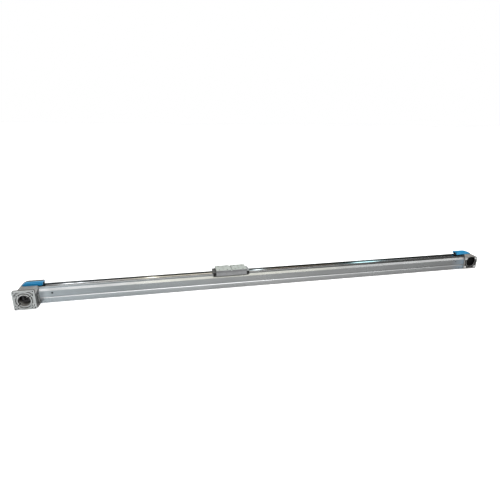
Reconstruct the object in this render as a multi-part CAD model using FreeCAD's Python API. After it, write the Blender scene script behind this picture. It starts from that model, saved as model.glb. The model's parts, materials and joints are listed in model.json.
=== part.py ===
import FreeCAD, Part
import math
import os

V = FreeCAD.Vector

# Toothed belt linear axis. Millimetres, +Z up, +X along the axis from the drive head to the idler
# head, -Y the side of the motor flange. The origin lies on the profile's bottom face, at mid length
# and mid width.

# Belt drive
BELT_PITCH = 5.0
PULLEY_TEETH = 16
SPAN_PITCHES = 354
BELT_WIDTH = 16.0
BELT_BACK = 0.6
BELT_ROOT = 0.6
TOOTH_HEIGHT = 1.2
TOOTH_HALF_ROOT = 1.3
TOOTH_HALF_TIP = 0.9
TOOTH_CLEARANCE = 0.1
BELT_SEAT_GAP = 0.06
PULLEY_SIDE_ROOM = 0.5
PULLEY_FLANGE_RISE = 1.8
PULLEY_FLANGE_THICKNESS = 1.2
AXIS_HEIGHT = 32.5

# Profile section
PROFILE_WIDTH = 45.0
SIDE_ABOVE_AXIS = 11.5
SHOULDER_RISE = 8.0
SHOULDER_INSET = 5.0
LIP_RISE = 6.2
LIP_THICKNESS = 3.0
SIDE_WALL = 7.0
ROOF_THICKNESS = 3.0
FLOOR_THICKNESS = 9.0
WEB_THICKNESS = 5.0
WEB_ROOM = 2.0
SIDE_GROOVE_HEIGHT = 17.8
SIDE_GROOVE_FLANK = 3.5
SIDE_GROOVE_LIP = 1.0
SIDE_GROOVE_DEPTH = 3.0
FOOT_SLOT_OFFSET = 10.0
FOOT_SLOT_OPENING = 5.2
FOOT_SLOT_LIP = 2.5
FOOT_SLOT_WIDTH = 9.0
FOOT_SLOT_HEIGHT = 4.0
SET_SCREW_RADIUS = 2.5
SET_SCREW_DEPTH = 5.0
SET_SCREW_FROM_END = 41.5
SET_SCREW_SUNK = 0.8
SET_SCREW_DROP = 8.0

# Steel cover strip
STRIP_WIDTH = 20.0
STRIP_THICKNESS = 0.8
STRIP_CROWN = 0.8
STRIP_OVERLAP = 24.0

# Heads
HEAD_RISE = 6.5
HEAD_BACK = 24.0
DRIVE_HEAD_INSET = 8.0
DRIVE_HEAD_ROUND = 9.0
DRIVE_FACET_DROP = 14.0
DRIVE_FACET_WIDTH = 12.0
DRIVE_FACET_END = 10.0
DRIVE_SIDE_POCKET_DEPTH = 3.0
DRIVE_SIDE_POCKET_RIM = 5.0
FLANGE_WIDTH = 70.0
FLANGE_ABOVE_AXIS = 37.0
FLANGE_REACH = 42.5
FLANGE_THICKNESS = 9.0
FLANGE_CORNER = 5.0
FLANGE_HOLE_EDGE = 5.0
FLANGE_HOLE_RADIUS = 2.25
FLANGE_RIM = 5.5
FLANGE_POCKET_DEPTH = 4.0
CORNER_BOSS_RADIUS = 7.5
PILOT_RADIUS = 20.0
PILOT_RING = 3.1
FLANGE_RING_RADIUS = 32.0
FLANGE_RING_WIDTH = 4.5
PILOT_DEPTH = 12.0
COUPLING_BORE_DEPTH = 41.5
COUPLING_ROOM = 5.5
INNER_HOLE_RADIUS = 2.4
INNER_HOLE_DEPTH = 14.0
INNER_HOLE_X = 21.5
INNER_HOLE_Z = 17.0
INNER_BOSS_WALL = 2.8
INNER_SLOT_WIDTH = 4.2
EDGE_HOLE_RADIUS = 2.0
EDGE_HOLE_DEPTH = 9.0
EDGE_HOLE_INSET = 6.0
CHAMBER_ROOM = 2.3
IDLER_HEAD_LENGTH = 64.0
IDLER_FACE_REACH = 2.5
IDLER_FACE_RISE = 3.0
IDLER_SHOULDER = 9.0
IDLER_ARC_RUN = 50.0
IDLER_ARC_DROP = 14.2
IDLER_BORE_RADIUS = 21.5
IDLER_RING = 1.5
IDLER_RIM = 3.5
IDLER_POCKET_DEPTH = 4.0
IDLER_BOSS_RADIUS = 5.5
IDLER_BOSS_EDGE = 7.5
CAP_SET_BACK = 1.0
CAP_WALL = 2.0
CAP_FLOOR = 3.0

# Head fasteners
HEAD_SCREW_RADIUS = 2.0
HEAD_SCREW_HEAD_RADIUS = 3.5
HEAD_SCREW_HEAD_HEIGHT = 4.0
HEAD_SCREW_GRIP = 8.0
HEAD_SCREW_BITE = 16.0
HEAD_SCREW_FROM_SIDE = 3.3
HEAD_SCREW_HEIGHT = 4.6
PIN_RADIUS = 2.0
PIN_HALF = 8.0
PIN_DROP = 0.5
HOLE_CLEARANCE = 0.2

# Top covers, bumpers and strip clamps
COVER_RISE = 8.3
COVER_WALL = 2.2
COVER_EDGE_ROUND = 2.0
DRIVE_COVER_HALF = 16.5
DRIVE_COVER_BLUNT = 10.0
DRIVE_COVER_OVERHANG = 13.5
DRIVE_COVER_SIDE = 55.0
DRIVE_COVER_END = 13.0
DRIVE_COVER_SLOPE = 17.0
IDLER_COVER_HALF = 14.5
IDLER_COVER_BLUNT = 3.0
IDLER_COVER_OVERHANG = 35.0
IDLER_COVER_SIDE = 38.0
IDLER_COVER_END = 42.0
IDLER_COVER_SLOPE = 34.0
IDLER_COVER_EDGE = 1.0
BUMPER_SEAT = 6.0
BUMPER_PROUD = 2.5
BUMPER_HALF = 6.0
BUMPER_STRIP_ROOM = 1.2
CLAMP_LENGTH = 14.0
CLAMP_THICKNESS = 2.6
CLAMP_FROM_END = 7.0
CLAMP_SCREW_OFFSET = 6.0
SMALL_SCREW_RADIUS = 1.5
SMALL_HEAD_RADIUS = 2.75
SMALL_HEAD_HEIGHT = 1.7
SMALL_SCREW_BITE = 6.0

# Drive shaft and bearings
SHAFT_RADIUS = 6.0
SHAFT_BORE_RADIUS = 3.0
DRIVE_BEARING_RADIUS = 10.5
BEARING_WIDTH = 5.0
BEARING_RACE_GAP = 0.1
RACE_SHARE = 0.45
SHAFT_PASSAGE_GAP = 0.8
BEARING_COVER_RADIUS = 25.0
BEARING_COVER_FLANGE = 3.0
BEARING_COVER_SCREW_OFFSET = 15.0
HUB_RADIUS = 14.0
HUB_LENGTH = 18.0
HUB_BORE_RADIUS = 7.0
HUB_BORE_DEPTH = 12.0
HUB_SLIT = 1.6
HUB_GAP = 3.0
HUB_SCREW_OFFSET = 10.8
HUB_SCREW_FROM_FRONT = 6.0

# Idler and belt tensioner
AXLE_RADIUS = 5.0
IDLER_BEARING_RADIUS = 9.0
YOKE_CHEEK = 4.0
YOKE_GAP = 0.5
YOKE_BRIDGE = 4.5
YOKE_BACK = 10.0
YOKE_PLAY = 0.3
CAVITY_SIDE_ROOM = 0.6
CAVITY_RISE = 1.3
TENSION_TRAVEL = 3.0
TENSION_STOP_ROOM = 0.8
TENSION_SCREW_RADIUS = 2.0
TENSION_SCREW_OFFSET = 7.5
TENSION_HEAD_RADIUS = 3.5
TENSION_HEAD_HEIGHT = 3.5

# Carriage
CARRIAGE_CENTRE = -178.5
CARRIAGE_LENGTH = 116.0
CARRIAGE_WIDTH = 55.0
CARRIAGE_TOP_THICKNESS = 13.7
CARRIAGE_SKIRT = 4.2
CARRIAGE_SKIRT_DROP = 7.8
CARRIAGE_SKIRT_SLOPE = 2.7
CARRIAGE_KEYWAY_WIDTH = 6.0
CARRIAGE_KEYWAY_DEPTH = 2.5
CARRIAGE_HOLE_RADIUS = 2.5
CARRIAGE_HOLE_DEPTH = 8.0
CARRIAGE_HOLE_X = (15.0, 45.0)
CARRIAGE_HOLE_Y = 18.0
STRIP_TUNNEL_ROOM = 1.0
END_CAP_LENGTH = 12.0
END_CAP_WIDTH = 44.0
END_CAP_TOP = 5.5
END_CAP_BEVEL = 3.0
END_CAP_SKIRT_DROP = 1.5
END_CAP_SCREW_Y = 13.5
WIPER_WIDTH = 53.0
WIPER_RISE = 4.5
WIPER_GAP = 0.4
WIPER_FLOAT = 1.6
WIPER_SET_BACK = 1.5
PAD_LENGTH = 30.0
PAD_FROM_END = 4.0
PAD_GAP = 0.06
PAD_LIP_COVER = 2.6
PAD_DROP = 5.0
YOKE_LEG_LENGTH = 80.0
LEG_GAP = 0.5
LEG_THICKNESS = 2.5
LEG_BAR_WIDTH = 4.5
LEG_BAR_HEIGHT = 4.0
SLED_GAP = 0.5
SLED_ROOF_GAP = 0.4
SLED_BELT_GAP = 0.15
BELT_CLAMP_LENGTH = 30.0
BELT_CLAMP_THICKNESS = 3.5
BELT_CLAMP_HALF = 14.0
BELT_CLAMP_SCREW_X = 10.0
LEG_SCREW_X = 30.0

# Derived positions
HALF = PROFILE_WIDTH / 2
R_PITCH = BELT_PITCH * PULLEY_TEETH / (2 * math.pi)
R_BELT_BACK = R_PITCH + BELT_BACK
R_BELT_ROOT = R_PITCH - BELT_ROOT
R_BELT_TIP = R_BELT_ROOT - TOOTH_HEIGHT
R_PULLEY = R_BELT_ROOT - BELT_SEAT_GAP
R_GROOVE = R_BELT_TIP - TOOTH_CLEARANCE
R_FLANGE = R_BELT_BACK + PULLEY_FLANGE_RISE
PULLEY_HALF = BELT_WIDTH / 2 + PULLEY_SIDE_ROOM
PULLEY_OUT = PULLEY_HALF + PULLEY_FLANGE_THICKNESS
FLANGE_HEIGHT = AXIS_HEIGHT + FLANGE_ABOVE_AXIS
PROFILE_LENGTH = SPAN_PITCHES * BELT_PITCH - FLANGE_WIDTH / 2 - IDLER_HEAD_LENGTH / 2
XL = -PROFILE_LENGTH / 2
XR = PROFILE_LENGTH / 2
XD = XL - FLANGE_WIDTH / 2
XI = XR + IDLER_HEAD_LENGTH / 2
XL_END = XL - FLANGE_WIDTH
XR_END = XR + IDLER_HEAD_LENGTH
FLANGE_FRONT = -HALF - FLANGE_REACH
IDLER_FRONT = -HALF - IDLER_FACE_REACH
SIDE_HEIGHT = AXIS_HEIGHT + SIDE_ABOVE_AXIS
SET_SCREW_HEIGHT = SIDE_HEIGHT - SET_SCREW_DROP
SHOULDER_TOP = SIDE_HEIGHT + SHOULDER_RISE
LIP_OUT = HALF - SHOULDER_INSET
LIP_IN = LIP_OUT - LIP_THICKNESS
LIP_TOP = SHOULDER_TOP + LIP_RISE
HEAD_TOP = LIP_TOP + HEAD_RISE
IDLER_FACE_HEIGHT = SHOULDER_TOP + IDLER_FACE_RISE
CHAMBER = HALF - SIDE_WALL
ROOF = SHOULDER_TOP - ROOF_THICKNESS
STRIP_BOTTOM = LIP_TOP
STRIP_TOP = STRIP_BOTTOM + STRIP_THICKNESS + STRIP_CROWN
STRIP_HALF = STRIP_WIDTH / 2
BELT_TOP = AXIS_HEIGHT + R_BELT_BACK
BELT_UNDER = AXIS_HEIGHT + R_BELT_TIP
CLAMP_TOP = BELT_UNDER - SLED_BELT_GAP
CLAMP_BOTTOM = CLAMP_TOP - BELT_CLAMP_THICKNESS
WEB_TOP = CLAMP_BOTTOM - SMALL_HEAD_HEIGHT - WEB_ROOM
WEB_BOTTOM = WEB_TOP - WEB_THICKNESS
HEAD_SCREW_Y = HALF - HEAD_SCREW_FROM_SIDE
PIN_Y = HALF - SIDE_WALL / 2
PIN_Z = SIDE_HEIGHT + PIN_DROP
R_CHAMBER = R_FLANGE + CHAMBER_ROOM
BEARING_IN = PULLEY_OUT + PULLEY_SIDE_ROOM
BEARING_OUT = BEARING_IN + BEARING_WIDTH
PILOT_END = FLANGE_FRONT + PILOT_DEPTH
COUPLING_END = FLANGE_FRONT + COUPLING_BORE_DEPTH
HUB_BACK = COUPLING_END - HUB_GAP
HUB_FRONT = HUB_BACK - HUB_LENGTH
COVER_TOP = HEAD_TOP + COVER_RISE
BUMPER_BOTTOM = STRIP_TOP + BUMPER_STRIP_ROOM
DRIVE_COVER_IN = XL + DRIVE_COVER_OVERHANG
IDLER_COVER_IN = XR - IDLER_COVER_OVERHANG
CHEEK_IN = PULLEY_OUT + YOKE_GAP
CHEEK_OUT = CHEEK_IN + YOKE_CHEEK
CAVITY_HALF = CHEEK_OUT + CAVITY_SIDE_ROOM
CAVITY_RADIUS = R_FLANGE + CAVITY_RISE
YOKE_BRIDGE_IN = XI + R_FLANGE + YOKE_GAP
YOKE_BRIDGE_OUT = YOKE_BRIDGE_IN + YOKE_BRIDGE
CAVITY_END = YOKE_BRIDGE_OUT + TENSION_TRAVEL + TENSION_STOP_ROOM
CAR_L = CARRIAGE_CENTRE - CARRIAGE_LENGTH / 2
CAR_R = CARRIAGE_CENTRE + CARRIAGE_LENGTH / 2
CAR_HALF = CARRIAGE_WIDTH / 2
CAR_UNDER = STRIP_TOP + STRIP_TUNNEL_ROOM
CAR_TOP = CAR_UNDER + CARRIAGE_TOP_THICKNESS
SKIRT_IN = CAR_HALF - CARRIAGE_SKIRT
LEG_IN = STRIP_HALF + LEG_GAP
LEG_OUT = LEG_IN + LEG_THICKNESS
SLED_TOP = ROOF - SLED_ROOF_GAP
SLED_BOTTOM = BELT_TOP + SLED_BELT_GAP
SLED_HALF = CHAMBER - SLED_GAP
BAR_IN = LEG_OUT - LEG_BAR_WIDTH
BAR_MID = (BAR_IN + LEG_OUT) / 2
BELT_CLAMP_SCREW_Y = (BELT_WIDTH / 2 + BELT_CLAMP_HALF) / 2

# Tolerance for picking edges by their height
SAME_HEIGHT = 1e-6

NODES = {}


def box(x0, x1, y0, y1, z0, z1):
    return Part.makeBox(x1 - x0, y1 - y0, z1 - z0, V(x0, y0, z0))


def cyl_x(y, z, r, x0, x1):
    return Part.makeCylinder(r, x1 - x0, V(x0, y, z), V(1, 0, 0))


def cyl_y(x, z, r, y0, y1):
    return Part.makeCylinder(r, y1 - y0, V(x, y0, z), V(0, 1, 0))


def cyl_z(x, y, r, z0, z1):
    return Part.makeCylinder(r, z1 - z0, V(x, y, z0), V(0, 0, 1))


def ring_y(x, z, r0, r1, y0, y1):
    return cyl_y(x, z, r1, y0, y1).cut(cyl_y(x, z, r0, y0, y1))


def prism_yz(points, x0, x1):
    wire = Part.makePolygon([V(x0, y, z) for y, z in points + points[:1]])
    return Part.Face(wire).extrude(V(x1 - x0, 0, 0))


def prism_xz(points, y0, y1):
    wire = Part.makePolygon([V(x, y0, z) for x, z in points + points[:1]])
    return Part.Face(wire).extrude(V(0, y1 - y0, 0))


def runs_along(edge, axis):
    way = edge.tangentAt(edge.FirstParameter)
    return abs(way.dot(axis)) > way.cross(axis).Length


def lies_at(edge, z):
    return abs(edge.CenterOfMass.z - z) < SAME_HEIGHT


def rounded_xz(x0, x1, z0, z1, r, y0, y1):
    block = box(x0, x1, y0, y1, z0, z1)
    return block.makeFillet(r, [e for e in block.Edges if runs_along(e, V(0, 1, 0))])


def tetrahedron(a, b, c, d):
    corners = ((a, b, c), (a, b, d), (a, c, d), (b, c, d))
    faces = [Part.Face(Part.makePolygon([p, q, r, p])) for p, q, r in corners]
    return Part.Solid(Part.Shell(faces))


def arc_radius(run, drop):
    return (run ** 2 + drop ** 2) / (2 * drop)


def arc_drop(distance, radius):
    return radius - math.sqrt(radius ** 2 - distance ** 2)


def bending_arc(start, along, across, run, drop):
    radius = arc_radius(run, drop)
    mid = start + along * (run / 2) + across * arc_drop(run / 2, radius)
    end = start + along * run + across * drop
    return Part.Arc(start, mid, end).toShape(), end


def face_from(edges):
    return Part.Face(Part.Wire(Part.__sortEdges__(edges)))


def arched_block(x0, x1, run, z0, top, drop, y0, y1):
    side = math.copysign(1, x1 - x0)
    start = V(x1 - side * run, y0, top)
    arc, end = bending_arc(start, V(side, 0, 0), V(0, 0, -1), run, drop)
    low_in, high_in, low_out = V(x0, y0, z0), V(x0, y0, top), V(x1, y0, z0)
    edges = [Part.makeLine(low_in, high_in), Part.makeLine(high_in, start), arc, Part.makeLine(end, low_out),
             Part.makeLine(low_out, low_in)]
    return face_from(edges).extrude(V(0, y1 - y0, 0))


def cut_all(shape, tools):
    return shape.cut(tools)


def fuse_all(shapes):
    return shapes[0].fuse(shapes[1:]).removeSplitter()


def mirror_y(shape):
    return shape.mirror(V(0, 0, 0), V(0, 1, 0))


def add(name, *shapes):
    solids = []
    for shape in shapes:
        solids.extend(shape.Solids)
    NODES[name] = solids[0] if len(solids) == 1 else Part.makeCompound(solids)


def side_pair(shape):
    return [shape, mirror_y(shape)]


def small_screw_z(x, y, seat, end):
    head = cyl_z(x, y, SMALL_HEAD_RADIUS, seat, seat + SMALL_HEAD_HEIGHT)
    return head.fuse(cyl_z(x, y, SMALL_SCREW_RADIUS, end, seat)).removeSplitter()


def small_screw_hole_z(x, y, top, end):
    return cyl_z(x, y, SMALL_SCREW_RADIUS, end, top)


# Profile and strip

def profile():
    g0 = SIDE_GROOVE_HEIGHT
    g1 = g0 + SIDE_GROOVE_FLANK
    g2 = g1 + SIDE_GROOVE_LIP
    gy = HALF - SIDE_GROOVE_DEPTH
    right = [(HALF, 0), (HALF, g0), (gy, g1), (HALF, g2), (HALF, SIDE_HEIGHT), (LIP_OUT, SHOULDER_TOP),
             (LIP_OUT, LIP_TOP), (LIP_IN, LIP_TOP), (LIP_IN, ROOF), (CHAMBER, ROOF), (CHAMBER, WEB_TOP)]
    left = [(-y, z) for y, z in reversed(right)]
    body = prism_yz(right + left, XL, XR)
    tools = [box(XL, XR, -CHAMBER, CHAMBER, FLOOR_THICKNESS, WEB_BOTTOM)]
    o, w = FOOT_SLOT_OPENING / 2, FOOT_SLOT_WIDTH / 2
    z1, z2 = FOOT_SLOT_LIP, FOOT_SLOT_LIP + FOOT_SLOT_HEIGHT
    for s in (-1, 1):
        c = s * FOOT_SLOT_OFFSET
        slot = [(c - o, 0), (c + o, 0), (c + o, z1), (c + w, z1), (c + w, z2),
                (c - w, z2), (c - w, z1), (c - o, z1)]
        tools.append(prism_yz(slot, XL, XR))
        for x0, x1 in ((XL, XL + HEAD_SCREW_BITE), (XR - HEAD_SCREW_BITE, XR)):
            tools.append(cyl_x(s * HEAD_SCREW_Y, HEAD_SCREW_HEIGHT, HEAD_SCREW_RADIUS, x0, x1))
        for x0, x1 in ((XL, XL + PIN_HALF), (XR - PIN_HALF, XR)):
            tools.append(cyl_x(s * PIN_Y, PIN_Z, PIN_RADIUS, x0, x1))
    for x in (XL + SET_SCREW_FROM_END, XR - SET_SCREW_FROM_END):
        tools.append(cyl_y(x, SET_SCREW_HEIGHT, SET_SCREW_RADIUS, -HALF, -HALF + SET_SCREW_DEPTH))
    add("profile", cut_all(body, tools))


def set_screws():
    pieces = []
    for x in (XL + SET_SCREW_FROM_END, XR - SET_SCREW_FROM_END):
        y0 = -HALF + SET_SCREW_SUNK
        plug = cyl_y(x, SET_SCREW_HEIGHT, SET_SCREW_RADIUS, y0, -HALF + SET_SCREW_DEPTH)
        socket = cyl_y(x, SET_SCREW_HEIGHT, SET_SCREW_RADIUS / 2, y0, y0 + SET_SCREW_DEPTH / 2)
        pieces.append(plug.cut(socket))
    add("set_screws", *pieces)


def strip_screw_places():
    xs = (XL - CLAMP_FROM_END - CLAMP_LENGTH / 2, XR + CLAMP_FROM_END + CLAMP_LENGTH / 2)
    return [(x, s * CLAMP_SCREW_OFFSET) for x in xs for s in (-1, 1)]


def cover_strip():
    x0, x1 = XL - STRIP_OVERLAP, XR + STRIP_OVERLAP
    z0 = STRIP_BOTTOM
    z1 = z0 + STRIP_THICKNESS
    low = Part.Arc(V(x0, -STRIP_HALF, z0), V(x0, 0, z0 + STRIP_CROWN), V(x0, STRIP_HALF, z0)).toShape()
    top = Part.Arc(V(x0, -STRIP_HALF, z1), V(x0, 0, z1 + STRIP_CROWN), V(x0, STRIP_HALF, z1)).toShape()
    left = Part.makeLine(V(x0, -STRIP_HALF, z0), V(x0, -STRIP_HALF, z1))
    right = Part.makeLine(V(x0, STRIP_HALF, z0), V(x0, STRIP_HALF, z1))
    strip = face_from([low, right, top, left]).extrude(V(x1 - x0, 0, 0))
    holes = [cyl_z(x, y, SMALL_SCREW_RADIUS + HOLE_CLEARANCE, STRIP_BOTTOM, STRIP_TOP)
             for x, y in strip_screw_places()]
    add("cover_strip", cut_all(strip, holes))


def strip_clamps():
    for name, x0 in (("strip_clamp_drive", XL - CLAMP_FROM_END - CLAMP_LENGTH),
                     ("strip_clamp_idler", XR + CLAMP_FROM_END)):
        plate = box(x0, x0 + CLAMP_LENGTH, -STRIP_HALF, STRIP_HALF, STRIP_TOP, STRIP_TOP + CLAMP_THICKNESS)
        holes = [cyl_z(x, y, SMALL_SCREW_RADIUS + HOLE_CLEARANCE, STRIP_TOP, STRIP_TOP + CLAMP_THICKNESS)
                 for x, y in strip_screw_places()]
        add(name, cut_all(plate, holes))
    seat = STRIP_TOP + CLAMP_THICKNESS
    end = STRIP_BOTTOM - SMALL_SCREW_BITE
    add("strip_clamp_screws", *[small_screw_z(x, y, seat, end) for x, y in strip_screw_places()])


def strip_pocket(x0, x1, tools):
    tools.append(box(x0, x1, -LIP_IN, LIP_IN, STRIP_BOTTOM, COVER_TOP))
    for x, y in strip_screw_places():
        if x0 < x < x1:
            tools.append(small_screw_hole_z(x, y, STRIP_BOTTOM, STRIP_BOTTOM - SMALL_SCREW_BITE))


# Drive head

def drive_body():
    y0 = FLANGE_FRONT + FLANGE_THICKNESS
    body = box(XL_END + DRIVE_HEAD_INSET, XL, y0, HEAD_BACK, 0, HEAD_TOP)
    outer = [e for e in body.Edges if lies_at(e, HEAD_TOP) and runs_along(e, V(0, 1, 0))
             and e.CenterOfMass.x < XD]
    body = body.makeFillet(DRIVE_HEAD_ROUND, outer)
    facet = tetrahedron(V(XL, y0, HEAD_TOP), V(XL, y0, HEAD_TOP - DRIVE_FACET_DROP),
                        V(XL - DRIVE_FACET_WIDTH, y0, HEAD_TOP), V(XL, DRIVE_FACET_END, HEAD_TOP))
    rim = DRIVE_SIDE_POCKET_RIM
    pocket = box(XL - DRIVE_SIDE_POCKET_DEPTH, XL, y0 + rim, -HALF - rim, rim, SIDE_HEIGHT - rim)
    flange = rounded_xz(XL_END, XL, 0, FLANGE_HEIGHT, FLANGE_CORNER, FLANGE_FRONT, y0)
    return fuse_all([cut_all(body, [facet, pocket]), flange])


def drive_housing():
    tools = [cyl_y(XD, AXIS_HEIGHT, PILOT_RADIUS, FLANGE_FRONT, PILOT_END),
             cyl_y(XD, AXIS_HEIGHT, HUB_RADIUS + COUPLING_ROOM, PILOT_END, COUPLING_END),
             cyl_y(XD, AXIS_HEIGHT, SHAFT_RADIUS + SHAFT_PASSAGE_GAP, COUPLING_END, -BEARING_OUT),
             cyl_y(XD, AXIS_HEIGHT, DRIVE_BEARING_RADIUS, -BEARING_OUT, -BEARING_IN),
             cyl_y(XD, AXIS_HEIGHT, R_CHAMBER, -BEARING_IN, HEAD_BACK),
             box(XD, XL, -PULLEY_OUT, PULLEY_OUT, AXIS_HEIGHT - R_FLANGE, AXIS_HEIGHT + R_FLANGE)]
    tools.append(flange_pockets())
    tools.extend(flange_holes())
    strip_pocket(XL - STRIP_OVERLAP - 2 * HOLE_CLEARANCE, XL, tools)
    tools.extend(head_fastener_holes(XL, -1, XL_END))
    tools.extend(bearing_cover_screw_holes())
    hole_y = FLANGE_FRONT + FLANGE_THICKNESS + DRIVE_HEAD_ROUND + EDGE_HOLE_INSET
    tools.append(cyl_z(XL - EDGE_HOLE_INSET, hole_y, EDGE_HOLE_RADIUS, HEAD_TOP - EDGE_HOLE_DEPTH, HEAD_TOP))
    add("drive_housing", cut_all(drive_body(), tools))


def places_round_bore(dx, dz):
    return [(XD + sx * dx, AXIS_HEIGHT + sz * dz) for sx in (-1, 1) for sz in (-1, 1)]


def flange_corner_places():
    dx = FLANGE_WIDTH / 2 - FLANGE_HOLE_EDGE
    return [(XD + sx * dx, z) for sx in (-1, 1) for z in (FLANGE_HOLE_EDGE, FLANGE_HEIGHT - FLANGE_HOLE_EDGE)]


def inner_hole_places():
    return places_round_bore(INNER_HOLE_X, INNER_HOLE_Z)


def flange_pockets():
    y0, y1 = FLANGE_FRONT, FLANGE_FRONT + FLANGE_POCKET_DEPTH
    r = FLANGE_RIM
    field = rounded_xz(XL_END + r, XL - r, r, FLANGE_HEIGHT - r, FLANGE_CORNER, y0, y1)
    ring = FLANGE_RING_RADIUS
    keep = [cyl_y(XD, AXIS_HEIGHT, PILOT_RADIUS + PILOT_RING, y0, y1),
            ring_y(XD, AXIS_HEIGHT, ring - FLANGE_RING_WIDTH, ring, y0, y1)]
    for x, z in flange_corner_places():
        keep.append(cyl_y(x, z, CORNER_BOSS_RADIUS, y0, y1))
    for x, z in inner_hole_places():
        keep.append(cyl_y(x, z, INNER_HOLE_RADIUS + INNER_BOSS_WALL, y0, y1))
    return field.cut(keep)


def flange_holes():
    tools = []
    for x, z in flange_corner_places():
        tools.append(cyl_y(x, z, FLANGE_HOLE_RADIUS, FLANGE_FRONT, FLANGE_FRONT + FLANGE_THICKNESS))
    y1 = FLANGE_FRONT + INNER_HOLE_DEPTH
    reach = math.hypot(INNER_HOLE_X, INNER_HOLE_Z)
    for x, z in inner_hole_places():
        tools.append(cyl_y(x, z, INNER_HOLE_RADIUS, FLANGE_FRONT, y1))
        if (x - XD) * (z - AXIS_HEIGHT) > 0:
            slot = box(0, reach, FLANGE_FRONT, y1, -INNER_SLOT_WIDTH / 2, INNER_SLOT_WIDTH / 2)
            slot.rotate(V(0, 0, 0), V(0, 1, 0), -math.degrees(math.atan2(z - AXIS_HEIGHT, x - XD)))
            slot.translate(V(XD, 0, AXIS_HEIGHT))
            tools.append(slot)
    return tools


def head_fastener_holes(joint, side, end):
    tools = []
    seat = joint + side * HEAD_SCREW_GRIP
    for s in (-1, 1):
        y = s * HEAD_SCREW_Y
        z = HEAD_SCREW_HEIGHT
        a, b = sorted((joint, seat))
        tools.append(cyl_x(y, z, HEAD_SCREW_RADIUS + HOLE_CLEARANCE, a, b))
        a, b = sorted((seat, end))
        tools.append(cyl_x(y, z, HEAD_SCREW_HEAD_RADIUS + HOLE_CLEARANCE, a, b))
        a, b = sorted((joint, joint + side * PIN_HALF))
        tools.append(cyl_x(s * PIN_Y, PIN_Z, PIN_RADIUS, a, b))
    return tools


def head_fasteners():
    for name, joint, side in (("drive_head", XL, -1), ("idler_head", XR, 1)):
        screws = []
        pins = []
        seat = joint + side * HEAD_SCREW_GRIP
        for s in (-1, 1):
            a, b = sorted((seat, joint - side * HEAD_SCREW_BITE))
            shank = cyl_x(s * HEAD_SCREW_Y, HEAD_SCREW_HEIGHT, HEAD_SCREW_RADIUS, a, b)
            a, b = sorted((seat, seat + side * HEAD_SCREW_HEAD_HEIGHT))
            head = cyl_x(s * HEAD_SCREW_Y, HEAD_SCREW_HEIGHT, HEAD_SCREW_HEAD_RADIUS, a, b)
            screws.append(fuse_all([shank, head]))
            pins.append(cyl_x(s * PIN_Y, PIN_Z, PIN_RADIUS, joint - PIN_HALF, joint + PIN_HALF))
        add(name + "_screws", *screws)
        add(name + "_pins", *pins)


def bearing_cover_places():
    return places_round_bore(BEARING_COVER_SCREW_OFFSET, BEARING_COVER_SCREW_OFFSET)


def bearing_cover_screw_holes():
    y1 = HEAD_BACK
    return [cyl_y(x, z, SMALL_SCREW_RADIUS, y1 - SMALL_SCREW_BITE, y1) for x, z in bearing_cover_places()]


def drive_bearing_cover():
    y1 = HEAD_BACK + BEARING_COVER_FLANGE
    plug = cyl_y(XD, AXIS_HEIGHT, R_CHAMBER, BEARING_IN, HEAD_BACK)
    plate = cyl_y(XD, AXIS_HEIGHT, BEARING_COVER_RADIUS, HEAD_BACK, y1)
    cover = fuse_all([plug, plate])
    tools = [cyl_y(XD, AXIS_HEIGHT, DRIVE_BEARING_RADIUS, BEARING_IN, BEARING_OUT),
             cyl_y(XD, AXIS_HEIGHT, SHAFT_RADIUS + SHAFT_PASSAGE_GAP, BEARING_OUT, HEAD_BACK)]
    for x, z in bearing_cover_places():
        tools.append(cyl_y(x, z, SMALL_SCREW_RADIUS + HOLE_CLEARANCE, HEAD_BACK, y1))
    add("drive_bearing_cover", cut_all(cover, tools))
    screws = []
    for x, z in bearing_cover_places():
        head = cyl_y(x, z, SMALL_HEAD_RADIUS, y1, y1 + SMALL_HEAD_HEIGHT)
        shank = cyl_y(x, z, SMALL_SCREW_RADIUS, HEAD_BACK - SMALL_SCREW_BITE, y1)
        screws.append(fuse_all([head, shank]))
    add("bearing_cover_screws", *screws)


def toothed_pulley(x, bore):
    body = cyl_y(x, AXIS_HEIGHT, R_PULLEY, -PULLEY_HALF, PULLEY_HALF)
    tools = [cyl_y(x, AXIS_HEIGHT, bore, -PULLEY_HALF, PULLEY_HALF)]
    a = TOOTH_HALF_ROOT + TOOTH_CLEARANCE
    b = TOOTH_HALF_TIP + TOOTH_CLEARANCE
    run = a + (a - b) * (R_FLANGE - R_PULLEY) / (R_PULLEY - R_GROOVE)
    shape = [(-b, R_GROOVE), (b, R_GROOVE), (run, R_FLANGE), (-run, R_FLANGE)]
    groove = prism_xz([(px, pz) for px, pz in shape], -PULLEY_HALF, PULLEY_HALF)
    for k in range(PULLEY_TEETH):
        tool = groove.copy()
        tool.rotate(V(0, 0, 0), V(0, 1, 0), 360.0 * k / PULLEY_TEETH)
        tool.translate(V(x, 0, AXIS_HEIGHT))
        tools.append(tool)
    return cut_all(body, tools)


def pulley_flanges(x, bore):
    disc = ring_y(x, AXIS_HEIGHT, bore, R_FLANGE, PULLEY_HALF, PULLEY_OUT)
    return side_pair(disc)


def bearing_rings(x, r0, r1, y0, y1):
    split = r0 + (r1 - r0) * RACE_SHARE
    inner = ring_y(x, AXIS_HEIGHT, r0, split, y0, y1)
    outer = ring_y(x, AXIS_HEIGHT, split + BEARING_RACE_GAP, r1, y0, y1)
    return inner, outer


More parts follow.
